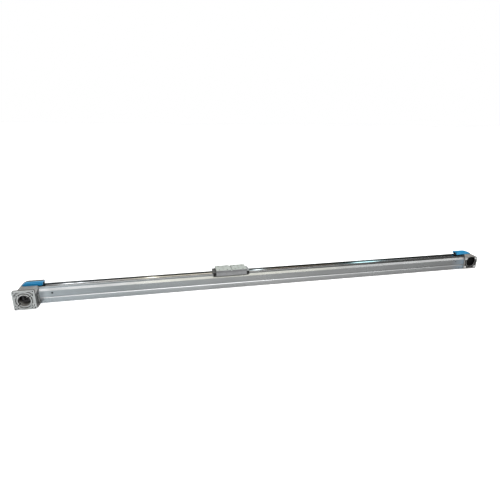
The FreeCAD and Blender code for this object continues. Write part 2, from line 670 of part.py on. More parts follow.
def drive_rotor():
    add("drive_pulley", toothed_pulley(XD, SHAFT_RADIUS))
    add("drive_pulley_flanges", *pulley_flanges(XD, SHAFT_RADIUS))
    shaft = ring_y(XD, AXIS_HEIGHT, SHAFT_BORE_RADIUS, SHAFT_RADIUS, HUB_FRONT + HUB_BORE_DEPTH, BEARING_OUT)
    add("drive_shaft", shaft)
    inner, outer = bearing_rings(XD, SHAFT_RADIUS, DRIVE_BEARING_RADIUS, BEARING_IN, BEARING_OUT)
    add("drive_bearing_inner_rings", *side_pair(inner))
    add("drive_bearing_outer_rings", *side_pair(outer))
    hub = cyl_y(XD, AXIS_HEIGHT, HUB_RADIUS, HUB_FRONT, HUB_BACK)
    screw_y = HUB_FRONT + HUB_SCREW_FROM_FRONT
    screw_x = XD + HUB_SCREW_OFFSET
    tools = [cyl_y(XD, AXIS_HEIGHT, HUB_BORE_RADIUS, HUB_FRONT, HUB_FRONT + HUB_BORE_DEPTH),
             cyl_y(XD, AXIS_HEIGHT, SHAFT_RADIUS, HUB_FRONT + HUB_BORE_DEPTH, HUB_BACK),
             box(XD, XD + HUB_RADIUS, HUB_FRONT, HUB_FRONT + HUB_BORE_DEPTH,
                 AXIS_HEIGHT - HUB_SLIT / 2, AXIS_HEIGHT + HUB_SLIT / 2)]
    reach = math.sqrt(HUB_RADIUS ** 2 - (HUB_SCREW_OFFSET + SMALL_SCREW_RADIUS) ** 2)
    z0, z1 = AXIS_HEIGHT - reach, AXIS_HEIGHT + reach - HUB_SLIT
    seat = z1 - SMALL_HEAD_HEIGHT
    tools.append(cyl_z(screw_x, screw_y, SMALL_SCREW_RADIUS, z0, seat))
    tools.append(cyl_z(screw_x, screw_y, SMALL_HEAD_RADIUS + HOLE_CLEARANCE, seat, AXIS_HEIGHT + HUB_RADIUS))
    add("coupling_hub", cut_all(hub, tools))
    add("coupling_screw", small_screw_z(screw_x, screw_y, seat, z0))


def cover_form(x_in, side, half, blunt, straight, end_run, slope_run, top, drop):
    along = V(side, 0, 0)
    z0 = LIP_TOP
    x_tip = x_in + side * (straight + end_run)
    front_in, back_in = V(x_in, -half, z0), V(x_in, half, z0)
    front_bend, back_bend = front_in + along * straight, back_in + along * straight
    front, front_tip = bending_arc(front_bend, along, V(0, 1, 0), end_run, half - blunt)
    back, back_tip = bending_arc(back_bend, along, V(0, -1, 0), end_run, half - blunt)
    edges = [Part.makeLine(front_in, front_bend), front, Part.makeLine(front_tip, back_tip), back,
             Part.makeLine(back_bend, back_in), Part.makeLine(back_in, front_in)]
    plan = face_from(edges).extrude(V(0, 0, top - z0))
    return plan.common(arched_block(x_in, x_tip, slope_run, 0, top, drop, -half, half))


def soft_edged(form):
    edges = [e for e in form.Edges if lies_at(e, COVER_TOP) and runs_along(e, V(1, 0, 0))]
    return form.makeFillet(COVER_EDGE_ROUND, edges)


def bumper_block(x_in, side):
    a, b = sorted((x_in + side * BUMPER_SEAT, x_in - side * BUMPER_PROUD))
    return box(a, b, -BUMPER_HALF, BUMPER_HALF, BUMPER_BOTTOM, COVER_TOP - COVER_WALL)


def cover_shell(x_in, side, half, blunt, straight, end_run, slope_run, drop):
    w = COVER_WALL
    outer = soft_edged(cover_form(x_in, side, half, blunt, straight, end_run, slope_run, COVER_TOP, drop))
    inner = cover_form(x_in + side * w, side, half - w, blunt - w, straight - w, end_run - w, slope_run,
                       COVER_TOP - w, drop)
    return cut_all(outer, [inner, bumper_block(x_in, side)])


def drive_top_cover():
    shell = cover_shell(DRIVE_COVER_IN, -1, DRIVE_COVER_HALF, DRIVE_COVER_BLUNT, DRIVE_COVER_SIDE,
                        DRIVE_COVER_END, DRIVE_COVER_SLOPE, COVER_RISE)
    under = box(XL_END, DRIVE_COVER_IN, -DRIVE_COVER_HALF, DRIVE_COVER_HALF, 0, HEAD_TOP)
    add("drive_top_cover", shell.cut(under))


def bumpers():
    add("drive_bumper", bumper_block(DRIVE_COVER_IN, -1))
    add("idler_bumper", bumper_block(IDLER_COVER_IN, 1))


# Idler head

def idler_head_block():
    return arched_block(XR, XR_END, IDLER_ARC_RUN, 0, HEAD_TOP, IDLER_ARC_DROP, IDLER_FRONT, HEAD_BACK)


def idler_section():
    top = HEAD_TOP
    z = IDLER_FACE_HEIGHT
    s = IDLER_SHOULDER
    return [(IDLER_FRONT, 0), (HEAD_BACK, 0), (HEAD_BACK, z), (HEAD_BACK - s, top), (IDLER_FRONT + s, top),
            (IDLER_FRONT, z)]


def idler_boss_places():
    zs = (IDLER_BOSS_EDGE, IDLER_FACE_HEIGHT - IDLER_BOSS_EDGE)
    return [(x, z) for x in (XR + IDLER_BOSS_EDGE, XR_END - IDLER_BOSS_EDGE) for z in zs]


def idler_pockets():
    y0, y1 = IDLER_FRONT, IDLER_FRONT + IDLER_POCKET_DEPTH
    r = IDLER_RIM
    field = rounded_xz(XR + r, XR_END - r, r, IDLER_FACE_HEIGHT - r, r, y0, y1)
    keep = [cyl_y(XI, AXIS_HEIGHT, IDLER_BORE_RADIUS + IDLER_RING, y0, y1)]
    for x, z in idler_boss_places():
        keep.append(cyl_y(x, z, IDLER_BOSS_RADIUS, y0, y1))
    return field.cut(keep)


def idler_housing():
    shape = idler_head_block().common(prism_yz(idler_section(), XR, XR_END))
    tools = [box(XR, CAVITY_END, -CAVITY_HALF, CAVITY_HALF, AXIS_HEIGHT - CAVITY_RADIUS,
                 AXIS_HEIGHT + CAVITY_RADIUS),
             cyl_y(XI, AXIS_HEIGHT, IDLER_BORE_RADIUS, IDLER_FRONT, -CAVITY_HALF),
             cyl_y(XI, AXIS_HEIGHT, IDLER_BORE_RADIUS, CAVITY_HALF, HEAD_BACK),
             idler_pockets()]
    for x, z in idler_boss_places():
        tools.append(cyl_y(x, z, SMALL_HEAD_RADIUS, IDLER_FRONT, IDLER_FRONT + SMALL_HEAD_HEIGHT))
    strip_pocket(XR, XR + STRIP_OVERLAP + 2 * HOLE_CLEARANCE, tools)
    tools.extend(head_fastener_holes(XR, 1, XR_END))
    for s in (-1, 1):
        y = s * TENSION_SCREW_OFFSET
        tools.append(cyl_x(y, AXIS_HEIGHT, TENSION_SCREW_RADIUS + HOLE_CLEARANCE, CAVITY_END, XR_END))
        tools.append(cyl_x(y, AXIS_HEIGHT, TENSION_HEAD_RADIUS + HOLE_CLEARANCE, XR_END - TENSION_HEAD_HEIGHT,
                           XR_END))
    add("idler_housing", cut_all(shape, tools))
    screws = []
    for x, z in idler_boss_places():
        head = cyl_y(x, z, SMALL_HEAD_RADIUS, IDLER_FRONT, IDLER_FRONT + SMALL_HEAD_HEIGHT)
        socket = cyl_y(x, z, SMALL_SCREW_RADIUS, IDLER_FRONT, IDLER_FRONT + SMALL_HEAD_HEIGHT / 2)
        screws.append(head.cut(socket))
    add("idler_face_screws", *screws)


def idler_bore_caps():
    caps = []
    for y_in, y_face, way in ((-CAVITY_HALF, IDLER_FRONT, -1), (CAVITY_HALF, HEAD_BACK, 1)):
        y_out = y_face - way * CAP_SET_BACK
        a, b = sorted((y_in, y_out))
        c, d = sorted((y_in + way * CAP_FLOOR, y_out))
        plug = cyl_y(XI, AXIS_HEIGHT, IDLER_BORE_RADIUS, a, b)
        caps.append(plug.cut(cyl_y(XI, AXIS_HEIGHT, IDLER_BORE_RADIUS - CAP_WALL, c, d)))
    add("idler_bore_caps", *caps)


def idler_top_cover():
    tip = IDLER_COVER_IN + IDLER_COVER_SIDE + IDLER_COVER_END
    sunk = arc_drop(tip - XR_END + IDLER_ARC_RUN, arc_radius(IDLER_ARC_RUN, IDLER_ARC_DROP))
    shell = cover_shell(IDLER_COVER_IN, 1, IDLER_COVER_HALF, IDLER_COVER_BLUNT, IDLER_COVER_SIDE,
                        IDLER_COVER_END, IDLER_COVER_SLOPE, COVER_RISE + sunk - IDLER_COVER_EDGE)
    under = box(IDLER_COVER_IN, XR, -IDLER_COVER_HALF, IDLER_COVER_HALF, 0, HEAD_TOP)
    add("idler_top_cover", cut_all(shell, [idler_head_block(), under]))


def tensioner():
    z0, z1 = AXIS_HEIGHT - CAVITY_RADIUS + YOKE_PLAY, AXIS_HEIGHT + CAVITY_RADIUS - YOKE_PLAY
    cheek = box(XI - YOKE_BACK, YOKE_BRIDGE_OUT, CHEEK_IN, CHEEK_OUT, z0, z1)
    bridge = box(YOKE_BRIDGE_IN, YOKE_BRIDGE_OUT, -CHEEK_OUT, CHEEK_OUT, z0, z1)
    yoke = fuse_all([cheek, mirror_y(cheek), bridge])
    tools = [cyl_y(XI, AXIS_HEIGHT, AXLE_RADIUS, -CHEEK_OUT, CHEEK_OUT)]
    screws = []
    for s in (-1, 1):
        y = s * TENSION_SCREW_OFFSET
        tools.append(cyl_x(y, AXIS_HEIGHT, TENSION_SCREW_RADIUS + 2 * HOLE_CLEARANCE, YOKE_BRIDGE_IN,
                           YOKE_BRIDGE_OUT))
        head = cyl_x(y, AXIS_HEIGHT, TENSION_HEAD_RADIUS, XR_END - TENSION_HEAD_HEIGHT, XR_END)
        tip = YOKE_BRIDGE_IN + TENSION_TRAVEL + YOKE_GAP
        shank = cyl_x(y, AXIS_HEIGHT, TENSION_SCREW_RADIUS, tip, XR_END)
        socket = cyl_x(y, AXIS_HEIGHT, TENSION_SCREW_RADIUS, XR_END - TENSION_HEAD_HEIGHT / 2, XR_END)
        screws.append(fuse_all([head, shank]).cut(socket))
    add("tension_yoke", cut_all(yoke, tools))
    add("tension_screws", *screws)
    add("idler_axle", cyl_y(XI, AXIS_HEIGHT, AXLE_RADIUS, -CHEEK_OUT, CHEEK_OUT))


def idler_rotor():
    add("idler_pulley", toothed_pulley(XI, IDLER_BEARING_RADIUS))
    add("idler_pulley_flanges", *pulley_flanges(XI, IDLER_BEARING_RADIUS))
    y0 = PULLEY_HALF - BEARING_WIDTH
    inner, outer = bearing_rings(XI, AXLE_RADIUS, IDLER_BEARING_RADIUS, y0, PULLEY_HALF)
    add("idler_bearing_inner_rings", *side_pair(inner))
    add("idler_bearing_outer_rings", *side_pair(outer))


# Belt

def racetrack(r, y):
    z0, z1 = AXIS_HEIGHT - r, AXIS_HEIGHT + r
    edges = [Part.makeLine(V(XD, -y, z1), V(XI, -y, z1)), Part.makeLine(V(XD, -y, z0), V(XI, -y, z0)),
             Part.Arc(V(XD, -y, z1), V(XD - r, -y, AXIS_HEIGHT), V(XD, -y, z0)).toShape(),
             Part.Arc(V(XI, -y, z1), V(XI + r, -y, AXIS_HEIGHT), V(XI, -y, z0)).toShape()]
    return face_from(edges).extrude(V(0, 2 * y, 0))


def belt():
    y = BELT_WIDTH / 2
    band = racetrack(R_BELT_BACK, y).cut(racetrack(R_BELT_ROOT, y))
    a, b = TOOTH_HALF_ROOT, TOOTH_HALF_TIP
    lift = R_PITCH
    tooth = prism_xz([(-a, lift), (-a, R_BELT_ROOT), (-b, R_BELT_TIP), (b, R_BELT_TIP), (a, R_BELT_ROOT),
                      (a, lift)], -y, y)
    teeth = []
    half_turn = PULLEY_TEETH // 2
    for x, first in ((XD, half_turn), (XI, 0)):
        for k in range(half_turn + 1):
            piece = tooth.copy()
            piece.rotate(V(0, 0, 0), V(0, 1, 0), 360.0 * (first + k) / PULLEY_TEETH)
            piece.translate(V(x, 0, AXIS_HEIGHT))
            teeth.append(piece)
    add("belt", fuse_all([band] + teeth))


# Carriage

def carriage_body():
    z0 = CAR_UNDER - CARRIAGE_SKIRT_DROP
    half = [(CAR_HALF, z0), (CAR_HALF, CAR_TOP)]
    right = half + [(-y, z) for y, z in reversed(half)]
    zi = z0 + CARRIAGE_SKIRT_SLOPE
    inner = [(-SKIRT_IN, zi), (-SKIRT_IN, CAR_UNDER), (SKIRT_IN, CAR_UNDER), (SKIRT_IN, zi)]
    body = prism_yz(right + inner, CAR_L, CAR_R)
    k = CARRIAGE_KEYWAY_WIDTH / 2
    tools = [box(CARRIAGE_CENTRE - k, CARRIAGE_CENTRE + k, -CAR_HALF, CAR_HALF,
                 CAR_TOP - CARRIAGE_KEYWAY_DEPTH, CAR_TOP)]
    for dx in CARRIAGE_HOLE_X:
        for sx in (-1, 1):
            for sy in (-1, 1):
                tools.append(cyl_z(CARRIAGE_CENTRE + sx * dx, sy * CARRIAGE_HOLE_Y, CARRIAGE_HOLE_RADIUS,
                                   CAR_TOP - CARRIAGE_HOLE_DEPTH, CAR_TOP))
    bar = box(CARRIAGE_CENTRE - YOKE_LEG_LENGTH / 2, CARRIAGE_CENTRE + YOKE_LEG_LENGTH / 2, BAR_IN, LEG_OUT,
              CAR_UNDER, CAR_UNDER + LEG_BAR_HEIGHT)
    tools.extend(side_pair(bar))
    for x, y in leg_screw_places():
        tools.append(cyl_z(x, y, SMALL_SCREW_RADIUS + HOLE_CLEARANCE, CAR_UNDER + LEG_BAR_HEIGHT, CAR_TOP))
        tools.append(cyl_z(x, y, SMALL_HEAD_RADIUS + HOLE_CLEARANCE, CAR_TOP - SMALL_HEAD_HEIGHT, CAR_TOP))
    for y, seat, side in end_cap_screw_places():
        a, b = sorted((seat, seat - side * SMALL_SCREW_BITE))
        tools.append(cyl_x(y, end_cap_screw_z(), SMALL_SCREW_RADIUS, a, b))
    add("carriage_body", cut_all(body, tools))


def leg_screw_places():
    return [(CARRIAGE_CENTRE + sx * LEG_SCREW_X, sy * BAR_MID) for sx in (-1, 1) for sy in (-1, 1)]


def end_cap_screw_z():
    return CAR_UNDER + END_CAP_TOP / 2


def end_cap_screw_places():
    places = []
    for seat, side in ((CAR_L, -1), (CAR_R, 1)):
        for s in (-1, 1):
            places.append((s * END_CAP_SCREW_Y, seat, side))
    return places


def carriage_end_caps():
    half = END_CAP_WIDTH / 2
    z_low = CAR_UNDER - END_CAP_SKIRT_DROP
    inner = LIP_OUT + WIPER_GAP
    top = CAR_UNDER + END_CAP_TOP
    bevel = END_CAP_BEVEL
    right = [(inner, CAR_UNDER), (inner, z_low), (half, z_low), (half, top - bevel), (half - bevel, top)]
    section = right + [(-y, z) for y, z in reversed(right)]
    screws = []
    for name, seat, side in (("carriage_end_cap_left", CAR_L, -1), ("carriage_end_cap_right", CAR_R, 1)):
        a, b = sorted((seat, seat + side * END_CAP_LENGTH))
        cap = prism_yz(section, a, b)
        end = seat + side * END_CAP_LENGTH
        tools = []
        for y, place, way in end_cap_screw_places():
            if place != seat:
                continue
            z = end_cap_screw_z()
            head_seat = end - side * SMALL_HEAD_HEIGHT
            c, d = sorted((seat, head_seat))
            tools.append(cyl_x(y, z, SMALL_SCREW_RADIUS + HOLE_CLEARANCE, c, d))
            e, f = sorted((head_seat, end))
            tools.append(cyl_x(y, z, SMALL_HEAD_RADIUS - HOLE_CLEARANCE, e, f))
            head = cyl_x(y, z, SMALL_HEAD_RADIUS - 2 * HOLE_CLEARANCE, e, f)
            g, h = sorted((head_seat, seat - side * SMALL_SCREW_BITE))
            screws.append(fuse_all([head, cyl_x(y, z, SMALL_SCREW_RADIUS, g, h)]))
        add(name, cut_all(cap, tools))
    add("end_cap_screws", *screws)


def wipers():
    half = WIPER_WIDTH / 2
    cap = END_CAP_WIDTH / 2
    inner = LIP_OUT + WIPER_GAP
    z_low = SHOULDER_TOP + WIPER_FLOAT
    z_cap = CAR_UNDER - END_CAP_SKIRT_DROP
    z_top = CAR_UNDER + WIPER_RISE
    section = [(inner, z_low), (half, z_low), (half, z_top), (cap, z_top), (cap, z_cap), (inner, z_cap)]
    for name, seat, side in (("wiper_left", CAR_L, -1), ("wiper_right", CAR_R, 1)):
        a, b = sorted((seat, seat + side * (END_CAP_LENGTH - WIPER_SET_BACK)))
        add(name, *side_pair(prism_yz(section, a, b)))


def guide_pads():
    y0 = LIP_OUT + PAD_GAP
    z0 = LIP_TOP + PAD_GAP
    y_in = LIP_OUT - PAD_LIP_COVER
    section = [(y0, z0 - PAD_DROP), (SKIRT_IN, z0 - PAD_DROP), (SKIRT_IN, CAR_UNDER), (y_in, CAR_UNDER),
               (y_in, z0), (y0, z0)]
    pads = []
    for x0 in (CAR_L + PAD_FROM_END, CAR_R - PAD_FROM_END - PAD_LENGTH):
        pads.extend(side_pair(prism_yz(section, x0, x0 + PAD_LENGTH)))
    add("guide_pads", *pads)


def belt_yoke():
    x0, x1 = CARRIAGE_CENTRE - YOKE_LEG_LENGTH / 2, CARRIAGE_CENTRE + YOKE_LEG_LENGTH / 2
    leg = box(x0, x1, LEG_IN, LEG_OUT, SLED_BOTTOM, CAR_UNDER + LEG_BAR_HEIGHT)
    bar = box(x0, x1, BAR_IN, LEG_OUT, CAR_UNDER, CAR_UNDER + LEG_BAR_HEIGHT)
    sled = box(x0, x1, -SLED_HALF, SLED_HALF, SLED_BOTTOM, SLED_TOP)
    yoke = fuse_all([sled] + side_pair(leg) + side_pair(bar))
    tools = [cyl_z(x, y, SMALL_SCREW_RADIUS, CAR_UNDER, CAR_UNDER + LEG_BAR_HEIGHT)
             for x, y in leg_screw_places()]
    for x, y in belt_clamp_screw_places():
        tools.append(cyl_z(x, y, SMALL_SCREW_RADIUS, SLED_BOTTOM, SLED_TOP))
    add("belt_yoke", cut_all(yoke, tools))
    seat = CAR_TOP - SMALL_HEAD_HEIGHT
    add("yoke_screws", *[small_screw_z(x, y, seat, CAR_UNDER) for x, y in leg_screw_places()])


def belt_clamp_centres():
    d = YOKE_LEG_LENGTH / 2 - BELT_CLAMP_LENGTH / 2
    return CARRIAGE_CENTRE - d, CARRIAGE_CENTRE + d


def belt_clamp_screw_places():
    places = []
    for c in belt_clamp_centres():
        for sx in (-1, 1):
            for sy in (-1, 1):
                places.append((c + sx * BELT_CLAMP_SCREW_X, sy * BELT_CLAMP_SCREW_Y))
    return places


def belt_clamps():
    for name, c in zip(("belt_clamp_left", "belt_clamp_right"), belt_clamp_centres()):
        h = BELT_CLAMP_LENGTH / 2
        y = BELT_WIDTH / 2 + PULLEY_SIDE_ROOM
        low = box(c - h, c + h, -BELT_CLAMP_HALF, BELT_CLAMP_HALF, CLAMP_BOTTOM, CLAMP_TOP)
        rail = box(c - h, c + h, y, BELT_CLAMP_HALF, CLAMP_TOP, SLED_BOTTOM)
        plate = fuse_all([low] + side_pair(rail))
        tools = [cyl_z(px, py, SMALL_SCREW_RADIUS + HOLE_CLEARANCE, CLAMP_BOTTOM, SLED_BOTTOM)
                 for px, py in belt_clamp_screw_places()]
        add(name, cut_all(plate, tools))
    screws = []
    for x, y in belt_clamp_screw_places():
        head = cyl_z(x, y, SMALL_HEAD_RADIUS, CLAMP_BOTTOM - SMALL_HEAD_HEIGHT, CLAMP_BOTTOM)
        shank = cyl_z(x, y, SMALL_SCREW_RADIUS, CLAMP_BOTTOM, SLED_TOP)
        screws.append(fuse_all([head, shank]))
    add("belt_clamp_screws", *screws)


def build():
    profile()
    set_screws()
    cover_strip()
    strip_clamps()
    drive_housing()
    head_fasteners()
    drive_bearing_cover()
    drive_rotor()
    drive_top_cover()
    bumpers()
    idler_housing()
    idler_bore_caps()
    idler_top_cover()
    tensioner()
    idler_rotor()
    belt()
    carriage_body()
    carriage_end_caps()
    wipers()
    guide_pads()
    belt_yoke()
    belt_clamps()


build()
os.makedirs("parts", exist_ok=True)
for node, shape in NODES.items():
    shape.exportStep("parts/" + node + ".step")
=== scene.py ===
import json
import math

import bmesh
import bpy
from mathutils import Matrix, Vector


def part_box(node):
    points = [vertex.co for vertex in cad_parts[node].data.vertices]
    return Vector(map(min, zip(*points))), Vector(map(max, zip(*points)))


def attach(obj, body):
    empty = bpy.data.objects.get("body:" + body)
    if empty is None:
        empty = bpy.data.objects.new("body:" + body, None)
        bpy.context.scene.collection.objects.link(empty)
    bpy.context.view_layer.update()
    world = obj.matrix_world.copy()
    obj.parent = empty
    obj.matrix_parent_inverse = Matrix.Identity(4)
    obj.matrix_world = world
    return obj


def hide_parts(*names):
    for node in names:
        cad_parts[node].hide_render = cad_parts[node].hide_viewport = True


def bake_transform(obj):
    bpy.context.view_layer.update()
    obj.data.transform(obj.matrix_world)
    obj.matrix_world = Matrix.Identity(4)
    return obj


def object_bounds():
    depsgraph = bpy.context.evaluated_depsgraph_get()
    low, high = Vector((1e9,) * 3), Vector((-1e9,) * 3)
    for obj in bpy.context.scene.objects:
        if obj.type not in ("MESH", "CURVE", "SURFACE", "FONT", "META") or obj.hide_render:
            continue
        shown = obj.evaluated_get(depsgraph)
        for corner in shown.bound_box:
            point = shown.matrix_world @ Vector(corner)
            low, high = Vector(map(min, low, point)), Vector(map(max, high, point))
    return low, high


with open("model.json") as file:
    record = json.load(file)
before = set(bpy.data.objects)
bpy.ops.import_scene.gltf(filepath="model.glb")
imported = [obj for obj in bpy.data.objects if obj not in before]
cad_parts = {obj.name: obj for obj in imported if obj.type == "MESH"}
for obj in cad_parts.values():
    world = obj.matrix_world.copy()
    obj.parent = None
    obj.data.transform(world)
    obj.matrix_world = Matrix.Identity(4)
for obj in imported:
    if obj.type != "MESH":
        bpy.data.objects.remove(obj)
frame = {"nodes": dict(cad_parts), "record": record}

CAD_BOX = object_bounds()
NODES = frame["nodes"]
BEHAVIOUR = frame["record"]["behaviour"]
SLOT_OF = {part["node"]: part["material_slot"] for part in frame["record"]["subparts"]}
BODY_OF = {node: body for body, nodes in BEHAVIOUR["bodies"].items() for node in nodes}
TURNS_AT = {joint["name"]: joint.get("pos_m") for joint in BEHAVIOUR["joints"]}
X, Y, Z = range(3)

# Camera of the photograph, in metres and degrees
IMAGE_SIDE = 500
FOCAL_PIXELS = 388.05
SENSOR = 36.0
CAMERA_AT = Vector((-0.41343, -1.36739, 0.61972))
CAMERA_YAW = 12.8011
CAMERA_PITCH = 18.8781
CAMERA_ROLL = 0.6703
NEAREST_SEEN = 0.05
FARTHEST_SEEN = 60.0


def make_camera():
    yaw, pitch, roll = (math.radians(a) for a in (CAMERA_YAW, CAMERA_PITCH, CAMERA_ROLL))
    ahead = Vector((math.sin(yaw) * math.cos(pitch), math.cos(yaw) * math.cos(pitch), -math.sin(pitch)))
    level = Vector((math.cos(yaw), -math.sin(yaw), 0.0))
    upward = level.cross(ahead)
    side = level * math.cos(roll) + upward * math.sin(roll)
    top = side.cross(ahead)
    data = bpy.data.cameras.new("photo_camera")
    data.sensor_width = SENSOR
    data.lens = FOCAL_PIXELS / IMAGE_SIDE * SENSOR
    data.clip_start = NEAREST_SEEN
    data.clip_end = FARTHEST_SEEN
    camera = bpy.data.objects.new("photo_camera", data)
    camera.matrix_world = Matrix((side, top, -ahead)).transposed().to_4x4()
    camera.location = CAMERA_AT
    bpy.context.scene.collection.objects.link(camera)
    bpy.context.scene.camera = camera


# Material building blocks

NOISE_RANGE = (0.3, 0.7)
NOISE_ROUGHNESS = 0.55
EDGE_ROUNDING = 0.0004
EDGE_SAMPLES = 6
EDGE_TURN = (0.995, 0.80)
HOLLOW_SAMPLES = 8
HOLLOW_LIGHT = (0.65, 0.25)


def grey(level):
    return (level, level, level)


class Graph:
    """Short calls that add nodes to a node tree and link them."""

    def __init__(self, tree):
        self.nodes = tree.nodes
        self.links = tree.links

    def link(self, source, target):
        self.links.new(source, target)

    def parts(self, vector):
        node = self.nodes.new("ShaderNodeSeparateXYZ")
        self.link(vector, node.inputs["Vector"])
        return tuple(node.outputs)

    def ramp(self, source, stops):
        node = self.nodes.new("ShaderNodeValToRGB")
        elements = node.color_ramp.elements
        while len(elements) < len(stops):
            elements.new(0.5)
        for element, (at, colour) in zip(elements, stops):
            element.position = at
            element.color = (*colour, 1.0)
        self.link(source, node.inputs["Fac"])
        return node.outputs["Color"]

    def span(self, source, low, high, to_low=0.0, to_high=1.0):
        """Goes evenly from one value to another while the source goes from low to high."""
        node = self.nodes.new("ShaderNodeMapRange")
        for key, value in (("From Min", low), ("From Max", high), ("To Min", to_low), ("To Max", to_high)):
            node.inputs[key].default_value = value
        self.link(source, node.inputs["Value"])
        return node.outputs["Result"]

    def mix(self, share, a, b, blend="MIX"):
        node = self.nodes.new("ShaderNodeMix")
        node.data_type = "RGBA"
        node.blend_type = blend
        for key, value in (("Factor", share), ("A", a), ("B", b)):
            socket = [s for s in node.inputs if s.name == key and s.enabled][0]
            if isinstance(value, bpy.types.NodeSocket):
                self.link(value, socket)
            else:
                socket.default_value = value if key == "Factor" else (*value, 1.0)
        return [s for s in node.outputs if s.enabled][0]

    def both(self, a, b):
        node = self.nodes.new("ShaderNodeMath")
        node.operation = "MULTIPLY"
        self.link(a, node.inputs[0])
        self.link(b, node.inputs[1])
        return node.outputs["Value"]

    def inside(self, source, low, high, soft):
        rising = self.span(source, low - soft, low)
        falling = self.span(source, high, high + soft, 1.0, 0.0)
        return self.both(rising, falling)


class Finish(Graph):
    """One material; places are those of the part's own frame."""

    def __init__(self, name):
        self.material = bpy.data.materials.new(name)
        self.material.use_nodes = True
        super().__init__(self.material.node_tree)
        self.shader = self.nodes["Principled BSDF"]
        self.coords = self.nodes.new("ShaderNodeTexCoord").outputs["Object"]
        self.x, self.y, self.z = self.parts(self.coords)
        facing = self.nodes.new("ShaderNodeNewGeometry").outputs["True Normal"]
        self.facing_x, self.facing_y, self.facing_z = self.parts(facing)

    def set(self, **values):
        for key, value in values.items():
            self.shader.inputs[key.replace("_", " ")].default_value = value

    def colour(self, source):
        self.link(source, self.shader.inputs["Base Color"])

    def metallic(self, source):
        self.link(source, self.shader.inputs["Metallic"])

    def roughness(self, source):
        self.link(source, self.shader.inputs["Roughness"])

    def scaled(self, scale):
        node = self.nodes.new("ShaderNodeMapping")
        node.inputs["Scale"].default_value = scale
        self.link(self.coords, node.inputs["Vector"])
        return node.outputs["Vector"]

    def noise(self, scale, detail):
        node = self.nodes.new("ShaderNodeTexNoise")
        node.inputs["Scale"].default_value = 1.0
        node.inputs["Detail"].default_value = detail
        node.inputs["Roughness"].default_value = NOISE_ROUGHNESS
        self.link(self.scaled(scale), node.inputs["Vector"])
        return node.outputs["Fac"]

    def shades(self, noise, dark, light):
        return self.ramp(noise, list(zip(NOISE_RANGE, (dark, light))))

    def between(self, noise, low, high):
        return self.span(noise, *NOISE_RANGE, low, high)

    def near(self, x, z, radius, soft):
        """Share of a round zone about a line along Y."""
        node = self.nodes.new("ShaderNodeVectorMath")
        node.operation = "DISTANCE"
        node.inputs[1].default_value = (x, 0.0, z)
        self.link(self.scaled((1.0, 0.0, 1.0)), node.inputs[0])
        return self.span(node.outputs["Value"], radius, radius + soft, 1.0, 0.0)

    def soft_normal(self, radius):
        node = self.nodes.new("ShaderNodeBevel")
        node.samples = EDGE_SAMPLES
        node.inputs["Radius"].default_value = radius
        return node.outputs["Normal"]

    def edges(self, radius):
        node = self.nodes.new("ShaderNodeVectorMath")
        node.operation = "DOT_PRODUCT"
        geometry = self.nodes.new("ShaderNodeNewGeometry")
        self.link(self.soft_normal(radius), node.inputs[0])
        self.link(geometry.outputs["Normal"], node.inputs[1])
        return self.span(node.outputs["Value"], *EDGE_TURN)

    def hollows(self, reach):
        node = self.nodes.new("ShaderNodeAmbientOcclusion")
        node.samples = HOLLOW_SAMPLES
        node.only_local = True
        node.inputs["Distance"].default_value = reach
        return self.span(node.outputs["AO"], *HOLLOW_LIGHT)

    def bump(self, source, strength, distance):
        node = self.nodes.new("ShaderNodeBump")
        node.inputs["Strength"].default_value = strength
        node.inputs["Distance"].default_value = distance
        self.link(source, node.inputs["Height"])
        self.link(self.soft_normal(EDGE_ROUNDING), node.inputs["Normal"])
        self.link(node.outputs["Normal"], self.shader.inputs["Normal"])

    def paint(self, base, colour, *masks):
        """Lays a colour over another one where all the masks meet."""
        share = masks[0]
        for mask in masks[1:]:
            share = self.both(share, mask)
        return self.mix(share, base, colour)


# Aluminium of the beam, the heads and the carriage

# Colours of painted shade (black, dim grey, lip shade) and of painted highlights (pale grey)
BLACK = grey(0.010)
PALE_GREY = (0.62, 0.63, 0.64)
DIM_GREY = grey(0.100)
LIP_SHADE = (0.050, 0.050, 0.048)

# Heights on the profile
LOWER_SIDE_TOP = (0.0175, 0.0185)
GROOVE_FLANK = (0.0180, 0.0215)
WALL = (0.0215, 0.0440)
SHOULDER = (0.0437, 0.0525)
BELOW_LIP = (0.0505, 0.0519)
LIP_FOOT = (0.0519, 0.0524)
LIP_CREST = (0.0575, 0.0580)

# Places across the profile: its middle, and close behind its front face
MID_WIDTH = (-0.001, 0.001)
FRONT_SKIN = (-0.0215, -0.0205)

# Upward part of a face's normal: where upright faces end, and on the slanted shoulders
UPRIGHT = (0.35, 0.50)
SLANTED = (0.40, 0.70)

# Stretches along the profile
SHADED_STRETCH = (-0.3, 0.9)
BESIDE_DRIVE = (-0.850, -0.815)
BESIDE_IDLER = (0.790, 0.850)
NEAR_DRIVE = (-0.86, -0.60)
COOL_STRETCH = (-0.85, -0.10)
WARM_STRETCH = (-0.45, 0.20)
DIM_STRETCH = (0.28, 0.44)

# Radius of the dark surround of the front set screw
SCREW_DARK_RING = 0.0028


def shaded_along(g, base, dimmest):
    """Darkens a colour towards the idler end, as the photograph's light does."""
    far = g.span(g.x, *SHADED_STRETCH, 1.0, dimmest)
    return g.mix(1.0, base, g.ramp(far, [(0.0, grey(0.0)), (1.0, grey(1.0))]), "MULTIPLY")


def shaded_lips(g, base):
    """Painted shade: the lips darken towards the idler, and the rear one is dark all along."""
    lip = g.span(g.z, *LIP_FOOT)
    base = g.paint(base, LIP_SHADE, lip, g.span(g.x, -0.5, 0.5, 0.22, 0.95))
    return g.paint(base, LIP_SHADE, lip, g.span(g.y, *MID_WIDTH, 0.0, 0.9))


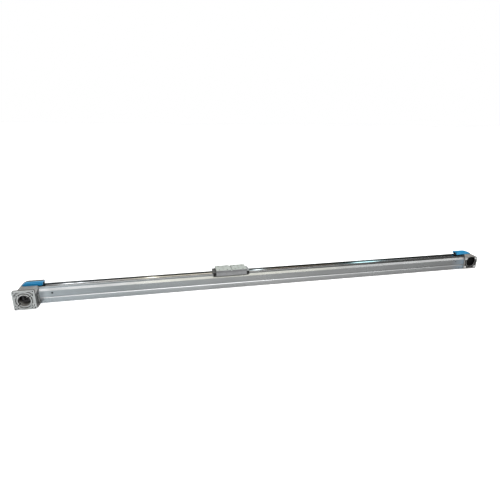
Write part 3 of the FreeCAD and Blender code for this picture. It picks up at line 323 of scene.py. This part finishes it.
def shaded_sides(g, base, beside_drive):
    """Painted highlights on the groove flank and near and beside the drive end, a painted lighter lower
    side and painted shade on the wall.
    """
    flank = g.both(g.inside(g.z, *GROOVE_FLANK, 0.0004), g.span(g.facing_z, 0.4, 0.6))
    base = g.paint(base, PALE_GREY, flank, g.span(g.x, -0.1, 0.6, 0.6, 0.0))
    base = g.paint(base, (0.48, 0.49, 0.50), g.span(g.x, *NEAR_DRIVE, 0.6, 0.0))
    base = g.paint(base, PALE_GREY, beside_drive)
    base = g.paint(base, (0.500, 0.505, 0.505), g.span(g.z, *LOWER_SIDE_TOP, 0.3, 0.0))
    wall = g.both(g.inside(g.z, *WALL, 0.0005), g.span(g.facing_z, *UPRIGHT, 0.2, 0.0))
    return g.paint(base, grey(0.150), wall)


def shaded_shoulders(g, base, shoulder):
    """Painted shade dims the shoulders on two stretches of the beam, and a painted highlight brightens
    them near the idler.
    """
    dim_stretch = g.inside(g.x, *DIM_STRETCH, 0.08)
    base = g.paint(base, DIM_GREY, shoulder, g.span(g.x, -0.20, 0.10, 0.20, 0.0))
    base = g.paint(base, DIM_GREY, shoulder, g.span(dim_stretch, 0.0, 1.0, 0.0, 0.30))
    return g.paint(base, (0.800, 0.790, 0.770), shoulder, g.span(g.x, 0.55, 0.85, 0.0, 0.32))


def painted_reflection_and_tints(g, base, shoulder, beside_idler):
    """A painted blue reflection beside the idler, painted cool light on the walls near the drive and
    painted warm light on the shoulders.
    """
    upright = g.span(g.facing_z, *UPRIGHT, 1.0, 0.0)
    below_lip = g.span(g.z, *BELOW_LIP, 0.8, 0.0)
    base = g.paint(base, (0.15, 0.205, 0.255), beside_idler, below_lip, upright)
    cool = g.both(g.span(g.x, *COOL_STRETCH, 0.9, 0.0), upright)
    base = g.mix(cool, base, (0.91, 1.00, 1.05), "MULTIPLY")
    warm = g.both(shoulder, g.inside(g.x, *WARM_STRETCH, 0.15))
    return g.mix(warm, base, (1.00, 0.985, 0.90), "MULTIPLY")


def screw_dark_ring(g, base):
    """Dark surround of the set screw near the drive."""
    low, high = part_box("set_screws")
    height = (low[Z] + high[Z]) / 2
    stain = g.near(low[X] + height - low[Z], height, SCREW_DARK_RING, SCREW_DARK_RING / 2)
    return g.paint(base, (0.030, 0.031, 0.033), stain, g.span(g.y, *FRONT_SKIN, 1.0, 0.0))


def anodised_profile():
    g = Finish("anodised_profile")
    lines = g.noise((1.5, 900.0, 900.0), 3.0)
    cloud = g.noise((9.0, 30.0, 30.0), 5.0)
    above_groove = g.span(g.z, LOWER_SIDE_TOP[0], WALL[0], 0.25, 1.0)
    beside_drive = g.both(g.span(g.x, *BESIDE_DRIVE, 1.0, 0.0), above_groove)
    beside_idler = g.span(g.x, *BESIDE_IDLER)
    shoulder = g.both(g.inside(g.z, *SHOULDER, 0.0003), g.inside(g.facing_z, *SLANTED, 0.05))
    crest = g.both(g.span(g.z, *LIP_CREST), g.span(g.facing_z, 0.8, 0.95))
    crest = g.both(crest, g.span(g.y, *MID_WIDTH, 1.0, 0.0))
    base = g.shades(lines, (0.270, 0.278, 0.282), (0.334, 0.340, 0.338))
    base = g.paint(base, (0.268, 0.270, 0.266), g.span(cloud, 0.35, 0.70, 0.0, 0.35))
    base = shaded_lips(g, base)
    base = shaded_sides(g, base, beside_drive)
    base = shaded_shoulders(g, base, shoulder)
    sides, tops = shaded_along(g, base, 0.52), shaded_along(g, base, 0.68)
    base = g.paint(sides, tops, g.span(g.facing_z, *UPRIGHT))
    base = painted_reflection_and_tints(g, base, shoulder, beside_idler)
    # Painted highlight on the crest, in front of the middle, fading towards the idler
    base = g.paint(base, (0.86, 0.855, 0.84), crest, g.span(g.x, -0.2, 0.5, 0.9, 0.15))
    g.colour(screw_dark_ring(g, base))
    matt = g.both(g.span(beside_drive, 0.0, 1.0, 1.0, 0.4), g.span(beside_idler, 0.0, 1.0, 1.0, 0.4))
    g.metallic(g.both(g.span(crest, 0.0, 1.0, 1.0, 0.3), matt))
    g.roughness(g.between(cloud, 0.24, 0.36))
    g.bump(lines, 0.12, 0.0002)
    return g.material


def front_faces(g):
    return g.span(g.facing_y, -0.98, -0.90, 1.0, 0.0)


def casting(name, cast, cut, shade):
    """Blasted casting with machined front faces; returns its graph and its colour."""
    g = Finish(name)
    g.set(Metallic=0.5)
    grain = g.noise((900.0, 900.0, 900.0), 3.0)
    cloud = g.noise((70.0, 70.0, 70.0), 5.0)
    base = g.shades(cloud, *cast)
    # Painted shade on faces towards +X, as much as the shade share asks, and painted light on faces
    # towards -X
    base = g.paint(base, (0.045, 0.044, 0.042), g.span(g.facing_x, 0.85, 0.97, 0.0, shade))
    base = g.paint(base, (0.56, 0.53, 0.51), g.span(g.facing_x, -0.97, -0.85, 0.5, 0.0))
    g.roughness(g.between(grain, 0.38, 0.52))
    g.bump(grain, 0.25, 0.0002)
    return g, g.paint(base, g.shades(cloud, *cut), front_faces(g))


# Reaches of the painted shade in hollows and in tight hollows, and radius of the bright edges
HOLLOW_SHADE_REACH = 0.008
TIGHT_SHADE_REACH = 0.0045
CASTING_EDGE = 0.0011


def casting_shade_and_wear(g, base):
    """Adds painted shade in the hollows, less of it where they face up, bright edges that are partly wear
    and partly painted highlight, and darker painted shade in tight hollows.
    """
    sheltered = g.span(g.facing_z, 0.1, 0.8, 1.0, 0.15)
    base = g.paint(base, (0.035, 0.034, 0.033), g.hollows(HOLLOW_SHADE_REACH), sheltered)
    base = g.paint(base, (0.66, 0.66, 0.64), g.edges(CASTING_EDGE))
    base = g.paint(base, (0.020, 0.019, 0.018), g.hollows(TIGHT_SHADE_REACH))
    g.colour(shaded_along(g, base, 0.70))
    return g.material


# Slots beside the drive's bore, painted black as painted shade: offsets from its axis along X and Z, and
# reach
DRIVE_SLOTS = [(-0.0205, -0.0165, 0.0060), (0.0190, 0.0140, 0.0080)]
SLOT_DEPTHS = (-0.0635, -0.0520)
FLANGE_TOP = (0.0655, 0.0665)


def drive_casting():
    cast = (0.24, 0.226, 0.208), (0.34, 0.326, 0.308)
    cut = (0.34, 0.360, 0.360), (0.52, 0.540, 0.535)
    g, base = casting("drive_casting", cast, cut, 0.9)
    # Painted highlight on the slanted facet of the head
    facet = g.both(g.span(g.facing_x, 0.55, 0.65), g.span(g.facing_z, 0.50, 0.60))
    base = g.paint(base, (0.42, 0.405, 0.385), facet)
    # Painted shade on the flange's top face
    flange_top = g.both(g.span(g.z, *FLANGE_TOP, 0.0, 0.8), g.span(g.facing_z, 0.3, 0.6))
    base = g.paint(base, (0.120, 0.115, 0.105), flange_top)
    # Painted shade: the slots are painted black
    sunk = g.inside(g.y, *SLOT_DEPTHS, 0.0010)
    axis = TURNS_AT["drive_pulley_spin"]
    for off_x, off_z, radius in DRIVE_SLOTS:
        base = g.paint(base, BLACK, g.near(axis[X] + off_x, axis[Z] + off_z, radius, 0.0008), sunk)
    return casting_shade_and_wear(g, base)


# Where the painted highlight stops near the rim and at the bosses' top, and radius of the bore's painted
# shade
BOSS_RIM = 0.0040
BOSS_TOP = 0.0510
BORE_RING = 0.0232


def idler_casting():
    # Painted shade: darker copies of the drive's cast and cut colours
    cast = (0.17, 0.160, 0.147), (0.25, 0.237, 0.222)
    cut = (0.24, 0.238, 0.232), (0.34, 0.338, 0.330)
    g, base = casting("idler_casting", cast, cut, 0.3)
    low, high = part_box("idler_housing")
    face = low[Y]
    front = front_faces(g)
    # Painted shade on front faces sunk into pockets
    base = g.paint(base, (0.090, 0.087, 0.083), front, g.span(g.y, face + 0.0005, face + 0.0025))
    # Painted highlight on the raised front faces inside the rim, below the bosses' top
    raised = g.both(front, g.span(g.y, face + 0.0002, face + 0.0008, 1.0, 0.0))
    wide = g.inside(g.x, low[X] + BOSS_RIM, high[X] - BOSS_RIM, 0.0003)
    tall = g.inside(g.z, low[Z] + BOSS_RIM, BOSS_TOP, 0.0003)
    base = g.paint(base, (0.92, 0.92, 0.91), raised, wide, tall)
    axis = TURNS_AT["idler_pulley_spin"]
    # Painted shade: the front faces within the bore's ring are painted near black
    base = g.paint(base, grey(0.020), g.near(axis[X], axis[Z], BORE_RING, 0.0003), front)
    return casting_shade_and_wear(g, base)


def end_faces(g):
    return g.span(g.both(g.facing_x, g.facing_x), 0.80, 0.95)


# Height of the flanks' painted shade, width painted black in holes, and reach of the painted shade in
# hollows
CARRIAGE_SHADE = (0.0650, 0.0675)
CARRIAGE_BORED = (-0.0262, 0.0262)
CARRIAGE_HOLLOW = 0.010


def carriage_aluminium():
    g = Finish("carriage_aluminium")
    g.set(Metallic=0.3)
    lines = g.noise((6.0, 700.0, 700.0), 3.0)
    cloud = g.noise((40.0, 60.0, 60.0), 5.0)
    upward = g.span(g.facing_z, 0.3, 0.8)
    # Top and flanks are a lit and a shaded copy of one finish: painted light and shade
    top = g.shades(cloud, (0.435, 0.465, 0.435), (0.525, 0.555, 0.525))
    flank = g.shades(cloud, (0.185, 0.188, 0.192), (0.255, 0.258, 0.262))
    # Painted shade on the flanks from a height up
    flank = g.paint(flank, (0.100, 0.100, 0.105), g.span(g.z, *CARRIAGE_SHADE, 0.0, 0.6))
    base = g.paint(flank, top, upward)
    # Painted shade on the end faces
    base = g.paint(base, grey(0.050), end_faces(g))
    # Painted shade: faces within the body's width that don't face up, in holes and the keyway, are painted
    # black
    bored = g.both(g.inside(g.y, *CARRIAGE_BORED, 0.0002), g.span(upward, 0.0, 1.0, 1.0, 0.0))
    base = g.paint(base, BLACK, bored)
    # Painted shade in the hollows
    g.colour(g.paint(base, BLACK, g.hollows(CARRIAGE_HOLLOW)))
    g.roughness(g.between(lines, 0.30, 0.42))
    g.bump(lines, 0.10, 0.0002)
    return g.material


def machined_aluminium():
    g = Finish("machined_aluminium")
    g.set(Metallic=1.0)
    rings = g.noise((200.0, 1500.0, 200.0), 3.0)
    g.colour(g.shades(rings, (0.42, 0.42, 0.41), (0.56, 0.56, 0.55)))
    g.roughness(g.between(rings, 0.22, 0.36))
    g.bump(rings, 0.1, 0.0001)
    return g.material


# Steel, plastic and rubber

STRIP_BROWN_END = (-0.83, -0.76)


def strip_steel():
    g = Finish("strip_steel")
    g.set(Metallic=1.0)
    lines = g.noise((1.0, 1400.0, 1400.0), 3.0)
    cloud = g.noise((6.0, 60.0, 60.0), 4.0)
    wave = g.noise((14.0, 25.0, 0.0), 2.0)
    base = g.shades(cloud, (0.480, 0.475, 0.465), (0.620, 0.615, 0.605))
    g.colour(g.paint(base, (0.200, 0.170, 0.140), g.span(g.x, *STRIP_BROWN_END, 0.75, 0.0)))
    g.roughness(g.between(lines, 0.03, 0.09))
    g.bump(wave, 0.10, 0.0012)
    return g.material


def steel(name, dark, light):
    g = Finish(name)
    g.set(Metallic=1.0)
    cloud = g.noise((300.0, 300.0, 300.0), 4.0)
    g.colour(g.shades(cloud, dark, light))
    g.roughness(g.between(cloud, 0.25, 0.42))
    g.bump(cloud, 0.08, 0.0002)
    return g.material


COAT_ROUGHNESS = 0.08
MOULDED_EDGE = 0.0022
REAR_LINE = 0.0040
REAR_SOFT = 0.0005


def rear_of_cover(g, base, line, rear_from, rear):
    """Upward faces get another colour from some Y on, with a line of painted highlight in front of it."""
    upward = g.span(g.facing_z, 0.1, 0.3)
    base = g.paint(base, line, upward, g.inside(g.y, rear_from - REAR_LINE, rear_from, REAR_SOFT))
    return g.paint(base, rear, upward, g.span(g.y, rear_from, rear_from + REAR_SOFT))


def moulded(name, dark, light, rough, coat=0.0, gloss=0.5, edge_highlight=None, shaded_ends=None, rear=None):
    """Moulded plastic or rubber; edges can get a painted highlight, end faces painted shade, and upward
    faces at the rear another colour.
    """
    g = Finish(name)
    g.set(Coat_Weight=coat, Coat_Roughness=COAT_ROUGHNESS, Specular_IOR_Level=gloss)
    cloud = g.noise((45.0, 60.0, 60.0), 5.0)
    grain = g.noise((1800.0, 1800.0, 1800.0), 2.0)
    base = g.shades(cloud, dark, light)
    if shaded_ends:
        base = g.paint(base, shaded_ends, end_faces(g))
    if edge_highlight:
        base = g.paint(base, edge_highlight, g.edges(MOULDED_EDGE))
    if rear:
        base = rear_of_cover(g, base, edge_highlight, *rear)
    g.colour(base)
    g.roughness(g.between(cloud, rough * 0.85, rough * 1.15))
    g.bump(grain, 0.08, 0.0001)
    return g.material


# Blue plastic whose edges get a painted highlight
BLUE_GLOSS = {"rough": 0.34, "coat": 0.10, "gloss": 0.3, "edge_highlight": (0.100, 0.420, 0.680)}
# Where the grey painted on the rear of the drive cover's top begins, and that grey
GREY_REAR = (0.0020, (0.100, 0.098, 0.094))

FINISHES = {
    "anodised_aluminium": anodised_profile(),
    "cast_aluminium": drive_casting(),
    "carriage_aluminium": carriage_aluminium(),
    "pulley_aluminium": machined_aluminium(),
    "strip_steel": strip_steel(),
    "screw_steel": steel("screw_steel", (0.30, 0.30, 0.29), (0.46, 0.46, 0.45)),
    "hub_steel": steel("hub_steel", (0.030, 0.030, 0.032), (0.070, 0.070, 0.072)),
    "bearing_steel": steel("bearing_steel", grey(0.42), grey(0.58)),
    "blue_plastic": moulded("blue_plastic", (0.002, 0.158, 0.330), (0.006, 0.215, 0.425), **BLUE_GLOSS),
    "black_plastic": moulded("black_plastic", grey(0.002), grey(0.005), 0.60, gloss=0.05),
    # Cap plastic with painted shade on its end faces
    "cap_plastic": moulded("cap_plastic", (0.20, 0.21, 0.21), (0.27, 0.28, 0.28), 0.42, shaded_ends=grey(0.040)),
    "guide_plastic": moulded("guide_plastic", (0.62, 0.61, 0.56), (0.72, 0.71, 0.66), 0.40),
    "black_rubber": moulded("black_rubber", grey(0.004), (0.010, 0.010, 0.009), 0.60, gloss=0.25),
    "belt_rubber": moulded("belt_rubber", grey(0.010), (0.022, 0.022, 0.021), 0.55),
}
NODE_FINISHES = {
    "set_screws": steel("black_steel", grey(0.006), grey(0.014)),
    "drive_top_cover": moulded("blue_plastic_grey_rear", (0.002, 0.148, 0.325), (0.006, 0.198, 0.415),
                               rear=GREY_REAR, **BLUE_GLOSS),
    "idler_housing": idler_casting(),
    # Painted shade: a darker copy of the cap plastic for the left end cap
    "carriage_end_cap_left": moulded("shaded_cap_plastic", grey(0.045), (0.080, 0.080, 0.078), 0.45),
}


def finish_of(name):
    return NODE_FINISHES.get(name, FINISHES[SLOT_OF[name]])


def dress_nodes():
    for name, node in NODES.items():
        node.data.materials.clear()
        node.data.materials.append(finish_of(name))


# Bodies of revolution and other new pieces

SMOOTH_BELOW = 35.0
WELD = 1e-6


def loose_parts(name):
    """Points of each separate solid of a node."""
    mesh = bmesh.new()
    mesh.from_mesh(NODES[name].data)
    bmesh.ops.remove_doubles(mesh, verts=mesh.verts, dist=WELD)
    mesh.verts.ensure_lookup_table()
    seen = set()
    groups = []
    for first in mesh.verts:
        if first.index in seen:
            continue
        seen.add(first.index)
        stack, group = [first], []
        while stack:
            vert = stack.pop()
            group.append(vert.co.copy())
            for edge in vert.link_edges:
                other = edge.other_vert(vert)
                if other.index not in seen:
                    seen.add(other.index)
                    stack.append(other)
        groups.append(group)
    mesh.free()
    return groups


def box_of(points):
    """Lowest and highest corner, and the middle."""
    low = [min(p[i] for p in points) for i in range(3)]
    high = [max(p[i] for p in points) for i in range(3)]
    return low, high, [(a + b) / 2 for a, b in zip(low, high)]


def close_rings(mesh, rings):
    """Faces between rings of points, and over the first and the last ring."""
    for low, high in zip(rings, rings[1:]):
        for k, point in enumerate(low):
            after = (k + 1) % len(low)
            mesh.faces.new((point, low[after], high[after], high[k]))
    mesh.faces.new(list(reversed(rings[0])))
    mesh.faces.new(rings[-1])


def hexagon(width, angle):
    step = math.pi / 3
    return width / 2 / math.cos((angle + step / 2) % step - step / 2)


def lathe(mesh, at, axis, way, rows, count):
    """Rows are (distance below the outer end, radius or None for a hexagon, width of the hexagon)."""
    a, b = [i for i in range(3) if i != axis]
    rings = []
    for depth, radius, width in rows:
        ring = []
        for k in range(count):
            angle = 2 * math.pi * k / count
            r = hexagon(width, angle) if radius is None else radius
            point = Vector(at)
            point[axis] -= way * depth
            point[a] += r * math.cos(angle)
            point[b] += r * math.sin(angle)
            ring.append(mesh.verts.new(point))
        rings.append(ring)
    close_rings(mesh, rings)


def put_in_place_of(node, name, mesh):
    bmesh.ops.recalc_face_normals(mesh, faces=mesh.faces)
    data = bpy.data.meshes.new(name)
    mesh.to_mesh(data)
    mesh.free()
    data.set_sharp_from_angle(angle=math.radians(SMOOTH_BELOW))
    data.polygons.foreach_set("use_smooth", [True] * len(data.polygons))
    piece = bpy.data.objects.new(name, data)
    bpy.context.scene.collection.objects.link(piece)
    data.materials.append(finish_of(node))
    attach(piece, BODY_OF[node])
    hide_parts(node)


# Screws with sockets in place of the plain ones: the axis and the side of their heads

SCREW_NODES = {"set_screws": (Y, -1), "strip_clamp_screws": (Z, 1), "drive_head_screws": (X, -1),
               "idler_head_screws": (X, 1), "bearing_cover_screws": (Y, 1), "idler_face_screws": (Y, -1),
               "tension_screws": (X, 1), "end_cap_screws": (X, 1), "yoke_screws": (Z, 1),
               "belt_clamp_screws": (Z, -1), "coupling_screw": (Z, 1)}
SCREW_ROUND = 24
SAME_PLANE = 1e-5
# Share of the length that the widest points lie off the middle when there is a head
OFF_MIDDLE = 0.1
# Shares of the head's radius
NEAR_RIM = 0.95
SOCKET_WIDTH = 0.95
HEAD_RIM = 0.12
DRILL_TIP = 0.02
HEADLESS = 0.97
# Shares of the rim's width
SOCKET_BEVEL = 0.4
UNDER_BEVEL = 0.5
# Shares of the head's height, of the socket's depth and twice of the socket's width
SOCKET_DEPTH = 0.62
DRILL_POINT = 1.25
SOCKET_TAPER = 0.97
SOCKET_LEAD = 1.10
# Shares of the shank's radius
THREAD_PITCH = 0.35
THREAD_ROOT = 0.86
THREAD_END = 0.8


def screw(mesh, points, axis, way):
    """Socketed screw in a plain one's size, with its head at the wide end, else on the given side."""
    low, high, at = box_of(points)
    across = [i for i in range(3) if i != axis]

    def off(p):
        return math.hypot(*(p[i] - at[i] for i in across))

    head = max(off(p) for p in points)
    wide = [p[axis] for p in points if off(p) > NEAR_RIM * head]
    length = high[axis] - low[axis]
    lean = sum(wide) / len(wide) - at[axis]
    if abs(lean) > OFF_MIDDLE * length:
        way = 1 if lean > 0 else -1
    at[axis] = high[axis] if way > 0 else low[axis]
    height = max(abs(p - at[axis]) for p in wide)
    shank = max(off(p) for p in points if abs(abs(p[axis] - at[axis]) - length) < SAME_PLANE)
    width = head * SOCKET_WIDTH
    depth = min(height * SOCKET_DEPTH, head)
    rim = head * HEAD_RIM
    bevel = rim * UNDER_BEVEL
    rows = [(depth * DRILL_POINT, DRILL_TIP * head, 0), (depth, None, width * SOCKET_TAPER),
            (rim * SOCKET_BEVEL, None, width), (0, None, width * SOCKET_LEAD),
            (0, head - rim, 0), (rim, head, 0)]
    if shank > HEADLESS * head:
        rows.append((length, head, 0))
    else:
        rows += [(height - bevel, head, 0), (height, head - bevel, 0), (height, shank, 0)]
        rows += thread(height, length, shank)
    lathe(mesh, at, axis, way, rows, SCREW_ROUND)


def thread(start, end, shank):
    """Rows of a shank with a groove per turn."""
    rows = []
    pitch = shank * THREAD_PITCH
    turn = start + pitch
    while turn < end - 2 * pitch:
        rows += [(turn, shank, 0), (turn + pitch / 2, shank * THREAD_ROOT, 0)]
        turn += pitch
    return rows + [(end - pitch, shank, 0), (end, shank * THREAD_END, 0)]


def socket_screws():
    for node, (axis, way) in SCREW_NODES.items():
        mesh = bmesh.new()
        for points in loose_parts(node):
            screw(mesh, points, axis, way)
        put_in_place_of(node, node + "_socketed", mesh)


# Moulded plugs in the idler's bores

PLUG_ROUND = 72
PLUG_FLOOR = 0.0060
PLUG_FLOOR_SHARE = 0.7
# Shares of the floor's depth and of the radius, from the middle to the rim
PLUG_STEPS = [(0.85, 0.02), (0.85, 0.12), (1.0, 0.15), (1.0, 0.55), (0.88, 0.58), (0.88, 0.64),
              (1.0, 0.67), (1.0, 0.86), (0.12, 0.90), (0.0, 0.92), (0.0, 0.98), (0.1, 1.0)]


def bore_plug(mesh, points):
    low, high, at = box_of(points)
    way = 1 if at[Y] > 0 else -1
    radius = (high[X] - low[X]) / 2
    length = high[Y] - low[Y]
    at[Y] = high[Y] if way > 0 else low[Y]
    floor = min(PLUG_FLOOR, PLUG_FLOOR_SHARE * length)
    rows = [(floor * depth, share * radius, 0) for depth, share in PLUG_STEPS]
    rows.append((length, radius, 0))
    lathe(mesh, at, Y, way, rows, PLUG_ROUND)


def bore_plugs():
    node = "idler_bore_caps"
    mesh = bmesh.new()
    for points in loose_parts(node):
        bore_plug(mesh, points)
    put_in_place_of(node, "idler_bore_plugs", mesh)


# Rounded rubber bumpers in place of the plain blocks

CORNER_STEPS = 5
BUMPER_CORNER = 0.0025
# Distances behind the tip, and how much smaller the bumper is there
BUMPER_ROWS = [(0.0, 0.0020), (0.0003, 0.0012), (0.0008, 0.0006), (0.0016, 0.0002), (0.0024, 0.0)]


def rounded_ring(mesh, x, low, high, inset):
    """Points of a rectangle with round corners across X, smaller than the box by an inset."""
    ring = []
    reach = BUMPER_CORNER - inset
    for corner in range(4):
        y = high[Y] - BUMPER_CORNER if corner in (0, 3) else low[Y] + BUMPER_CORNER
        z = high[Z] - BUMPER_CORNER if corner in (0, 1) else low[Z] + BUMPER_CORNER
        for k in range(CORNER_STEPS + 1):
            angle = (corner + k / CORNER_STEPS) * math.pi / 2
            ring.append(mesh.verts.new((x, y + reach * math.cos(angle), z + reach * math.sin(angle))))
    return ring


def bumpers():
    for node, way in (("drive_bumper", 1), ("idler_bumper", -1)):
        low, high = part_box(node)
        tip, root = (high[X], low[X]) if way > 0 else (low[X], high[X])
        mesh = bmesh.new()
        rings = [rounded_ring(mesh, tip - way * back, low, high, inset) for back, inset in BUMPER_ROWS]
        rings.append(rounded_ring(mesh, root, low, high, 0.0))
        close_rings(mesh, rings)
        put_in_place_of(node, node + "_rounded", mesh)


# Belt copied from the part's belt as a piece of its own


def tensioned_belt():
    belt = bpy.data.objects.new("belt_tensioned", NODES["belt"].data.copy())
    bpy.context.scene.collection.objects.link(belt)
    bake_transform(belt)
    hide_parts("belt")


# Studio

# How bright the room is by the height of a direction
ROOM_BY_HEIGHT = [(0.00, 0.40), (0.05, 0.09), (0.43, 0.07), (0.51, 1.20), (0.70, 1.05), (1.00, 0.50)]
# How bright it is by the direction's part along X, with five lamps
ROOM_ALONG_X = [(-1.00, 0.25), (-0.40, 0.35), (-0.27, 0.70),
                (-0.240, 0.90), (-0.233, 3.20), (-0.225, 3.20), (-0.219, 0.95),
                (-0.212, 0.95), (-0.207, 3.20), (-0.203, 3.00), (-0.197, 0.90),
                (-0.10, 0.80), (-0.06, 1.00), (-0.040, 4.20), (-0.022, 1.10),
                (0.04, 0.90), (0.11, 0.95), (0.19, 0.30),
                (0.21, 0.60), (0.225, 3.80), (0.24, 0.50), (0.26, 0.28), (0.38, 0.22),
                (0.446, 0.30), (0.462, 3.20), (0.495, 3.00), (0.510, 0.50),
                (0.54, 0.42), (0.60, 0.28), (1.00, 0.35)]
# Tints of the room's far wall along X
WALL_TINTS = [(-1.00, (0.94, 1.00, 1.05)), (-0.19, (0.94, 1.00, 1.05)), (-0.12, (1.02, 1.00, 0.96)),
              (-0.05, (1.04, 1.00, 0.84)), (0.10, (1.06, 1.00, 0.86)), (0.195, (0.90, 1.00, 1.04)),
              (0.235, (0.86, 1.00, 1.04)), (0.265, (1.18, 1.00, 0.80)), (0.40, (1.10, 1.00, 0.82)),
              (0.44, (0.66, 1.00, 1.07)), (0.49, (0.60, 1.00, 1.08)), (0.52, (0.88, 1.00, 1.05)),
              (0.60, (1.02, 1.00, 0.97)), (1.00, (1.00, 1.00, 1.00))]
TINT_PEAK = 1.20
# Part along Y of a direction over which the far wall's tints come in
FAR_WALL = (0.0, 0.2)
# Half the side of the square floor
FLOOR_REACH = 30.0
FLOOR_GLOW = 0.4
SUN_POWER = 1.2
SUN_ANGLE = 70.0
# Softboxes: where they are, where they point, their sides and their power
SOFTBOXES = {"long_softbox": ((0.7, -1.35, 1.55), (0.3, 0.0, 0.03), (4.8, 1.3), 42.0),
             "back_softbox": ((0.0, 1.00, 1.80), (0.0, 0.0, 0.03), (4.0, 0.5), 12.0)}


def softbox(name, at, towards, size, power):
    data = bpy.data.lights.new(name, "AREA")
    data.shape = "RECTANGLE"
    data.size, data.size_y = size
    data.energy = power
    light = bpy.data.objects.new(name, data)
    light.location = at
    light.rotation_mode = "QUATERNION"
    light.rotation_quaternion = (Vector(towards) - Vector(at)).to_track_quat("-Z", "Y")
    bpy.context.scene.collection.objects.link(light)


def soft_sun():
    data = bpy.data.lights.new("overhead", "SUN")
    data.energy = SUN_POWER
    data.angle = math.radians(SUN_ANGLE)
    light = bpy.data.objects.new("overhead", data)
    bpy.context.scene.collection.objects.link(light)


def room(g):
    """Light by its direction, and its peak: brightest about the middle of X, with a tinted far wall."""
    x, y, z = g.parts(g.nodes.new("ShaderNodeTexCoord").outputs["Generated"])
    high_peak = max(level for at, level in ROOM_BY_HEIGHT)
    along_peak = max(level for at, level in ROOM_ALONG_X)
    height = g.ramp(z, [(at, grey(level / high_peak)) for at, level in ROOM_BY_HEIGHT])
    sideways = g.span(x, -1.0, 1.0)
    along = g.ramp(sideways, [((at + 1.0) / 2, grey(level / along_peak)) for at, level in ROOM_ALONG_X])
    tints = [((at + 1.0) / 2, [part / TINT_PEAK for part in colour]) for at, colour in WALL_TINTS]
    walls = g.mix(g.span(y, *FAR_WALL), grey(1.0 / TINT_PEAK), g.ramp(sideways, tints))
    light = g.mix(1.0, g.mix(1.0, height, along, "MULTIPLY"), walls, "MULTIPLY")
    return light, high_peak * along_peak * TINT_PEAK


def sky(world):
    """White to the camera, and a room for the light."""
    world.use_nodes = True
    g = Graph(world.node_tree)
    light, peak = room(g)
    lit = g.nodes["Background"]
    g.link(light, lit.inputs["Color"])
    lit.inputs["Strength"].default_value = peak
    white = g.nodes.new("ShaderNodeBackground")
    white.inputs["Color"].default_value = (1.0, 1.0, 1.0, 1.0)
    choose = g.nodes.new("ShaderNodeMixShader")
    g.link(g.nodes.new("ShaderNodeLightPath").outputs["Is Camera Ray"], choose.inputs["Fac"])
    g.link(lit.outputs["Background"], choose.inputs[1])
    g.link(white.outputs["Background"], choose.inputs[2])
    g.link(choose.outputs["Shader"], g.nodes["World Output"].inputs["Surface"])


def floor_paint():
    """Pale paint that looks a little brighter to the camera than it lights the part."""
    g = Finish("pale_floor")
    g.set(Roughness=0.9, Emission_Color=(1.0, 1.0, 1.0, 1.0))
    g.colour(g.shades(g.noise((0.8, 0.8, 0.8), 3.0), grey(0.90), grey(0.92)))
    seen = g.nodes.new("ShaderNodeLightPath").outputs["Is Camera Ray"]
    g.link(g.span(seen, 0.0, 1.0, 0.0, FLOOR_GLOW), g.shader.inputs["Emission Strength"])
    return g.material


def pale_floor():
    corners = [(-1, -1), (1, -1), (1, 1), (-1, 1)]
    points = [(FLOOR_REACH * x, FLOOR_REACH * y, CAD_BOX[0].z) for x, y in corners]
    mesh = bpy.data.meshes.new("floor")
    mesh.from_pydata(points, [], [(0, 1, 2, 3)])
    mesh.materials.append(floor_paint())
    floor = bpy.data.objects.new("floor", mesh)
    bpy.context.scene.collection.objects.link(floor)


def studio():
    scene = bpy.context.scene
    scene.view_settings.view_transform = "Standard"
    scene.world = bpy.data.worlds.new("studio")
    sky(scene.world)
    pale_floor()
    soft_sun()
    for name, (at, towards, size, power) in SOFTBOXES.items():
        softbox(name, at, towards, size, power)


make_camera()
dress_nodes()
socket_screws()
bore_plugs()
bumpers()
tensioned_belt()
studio()
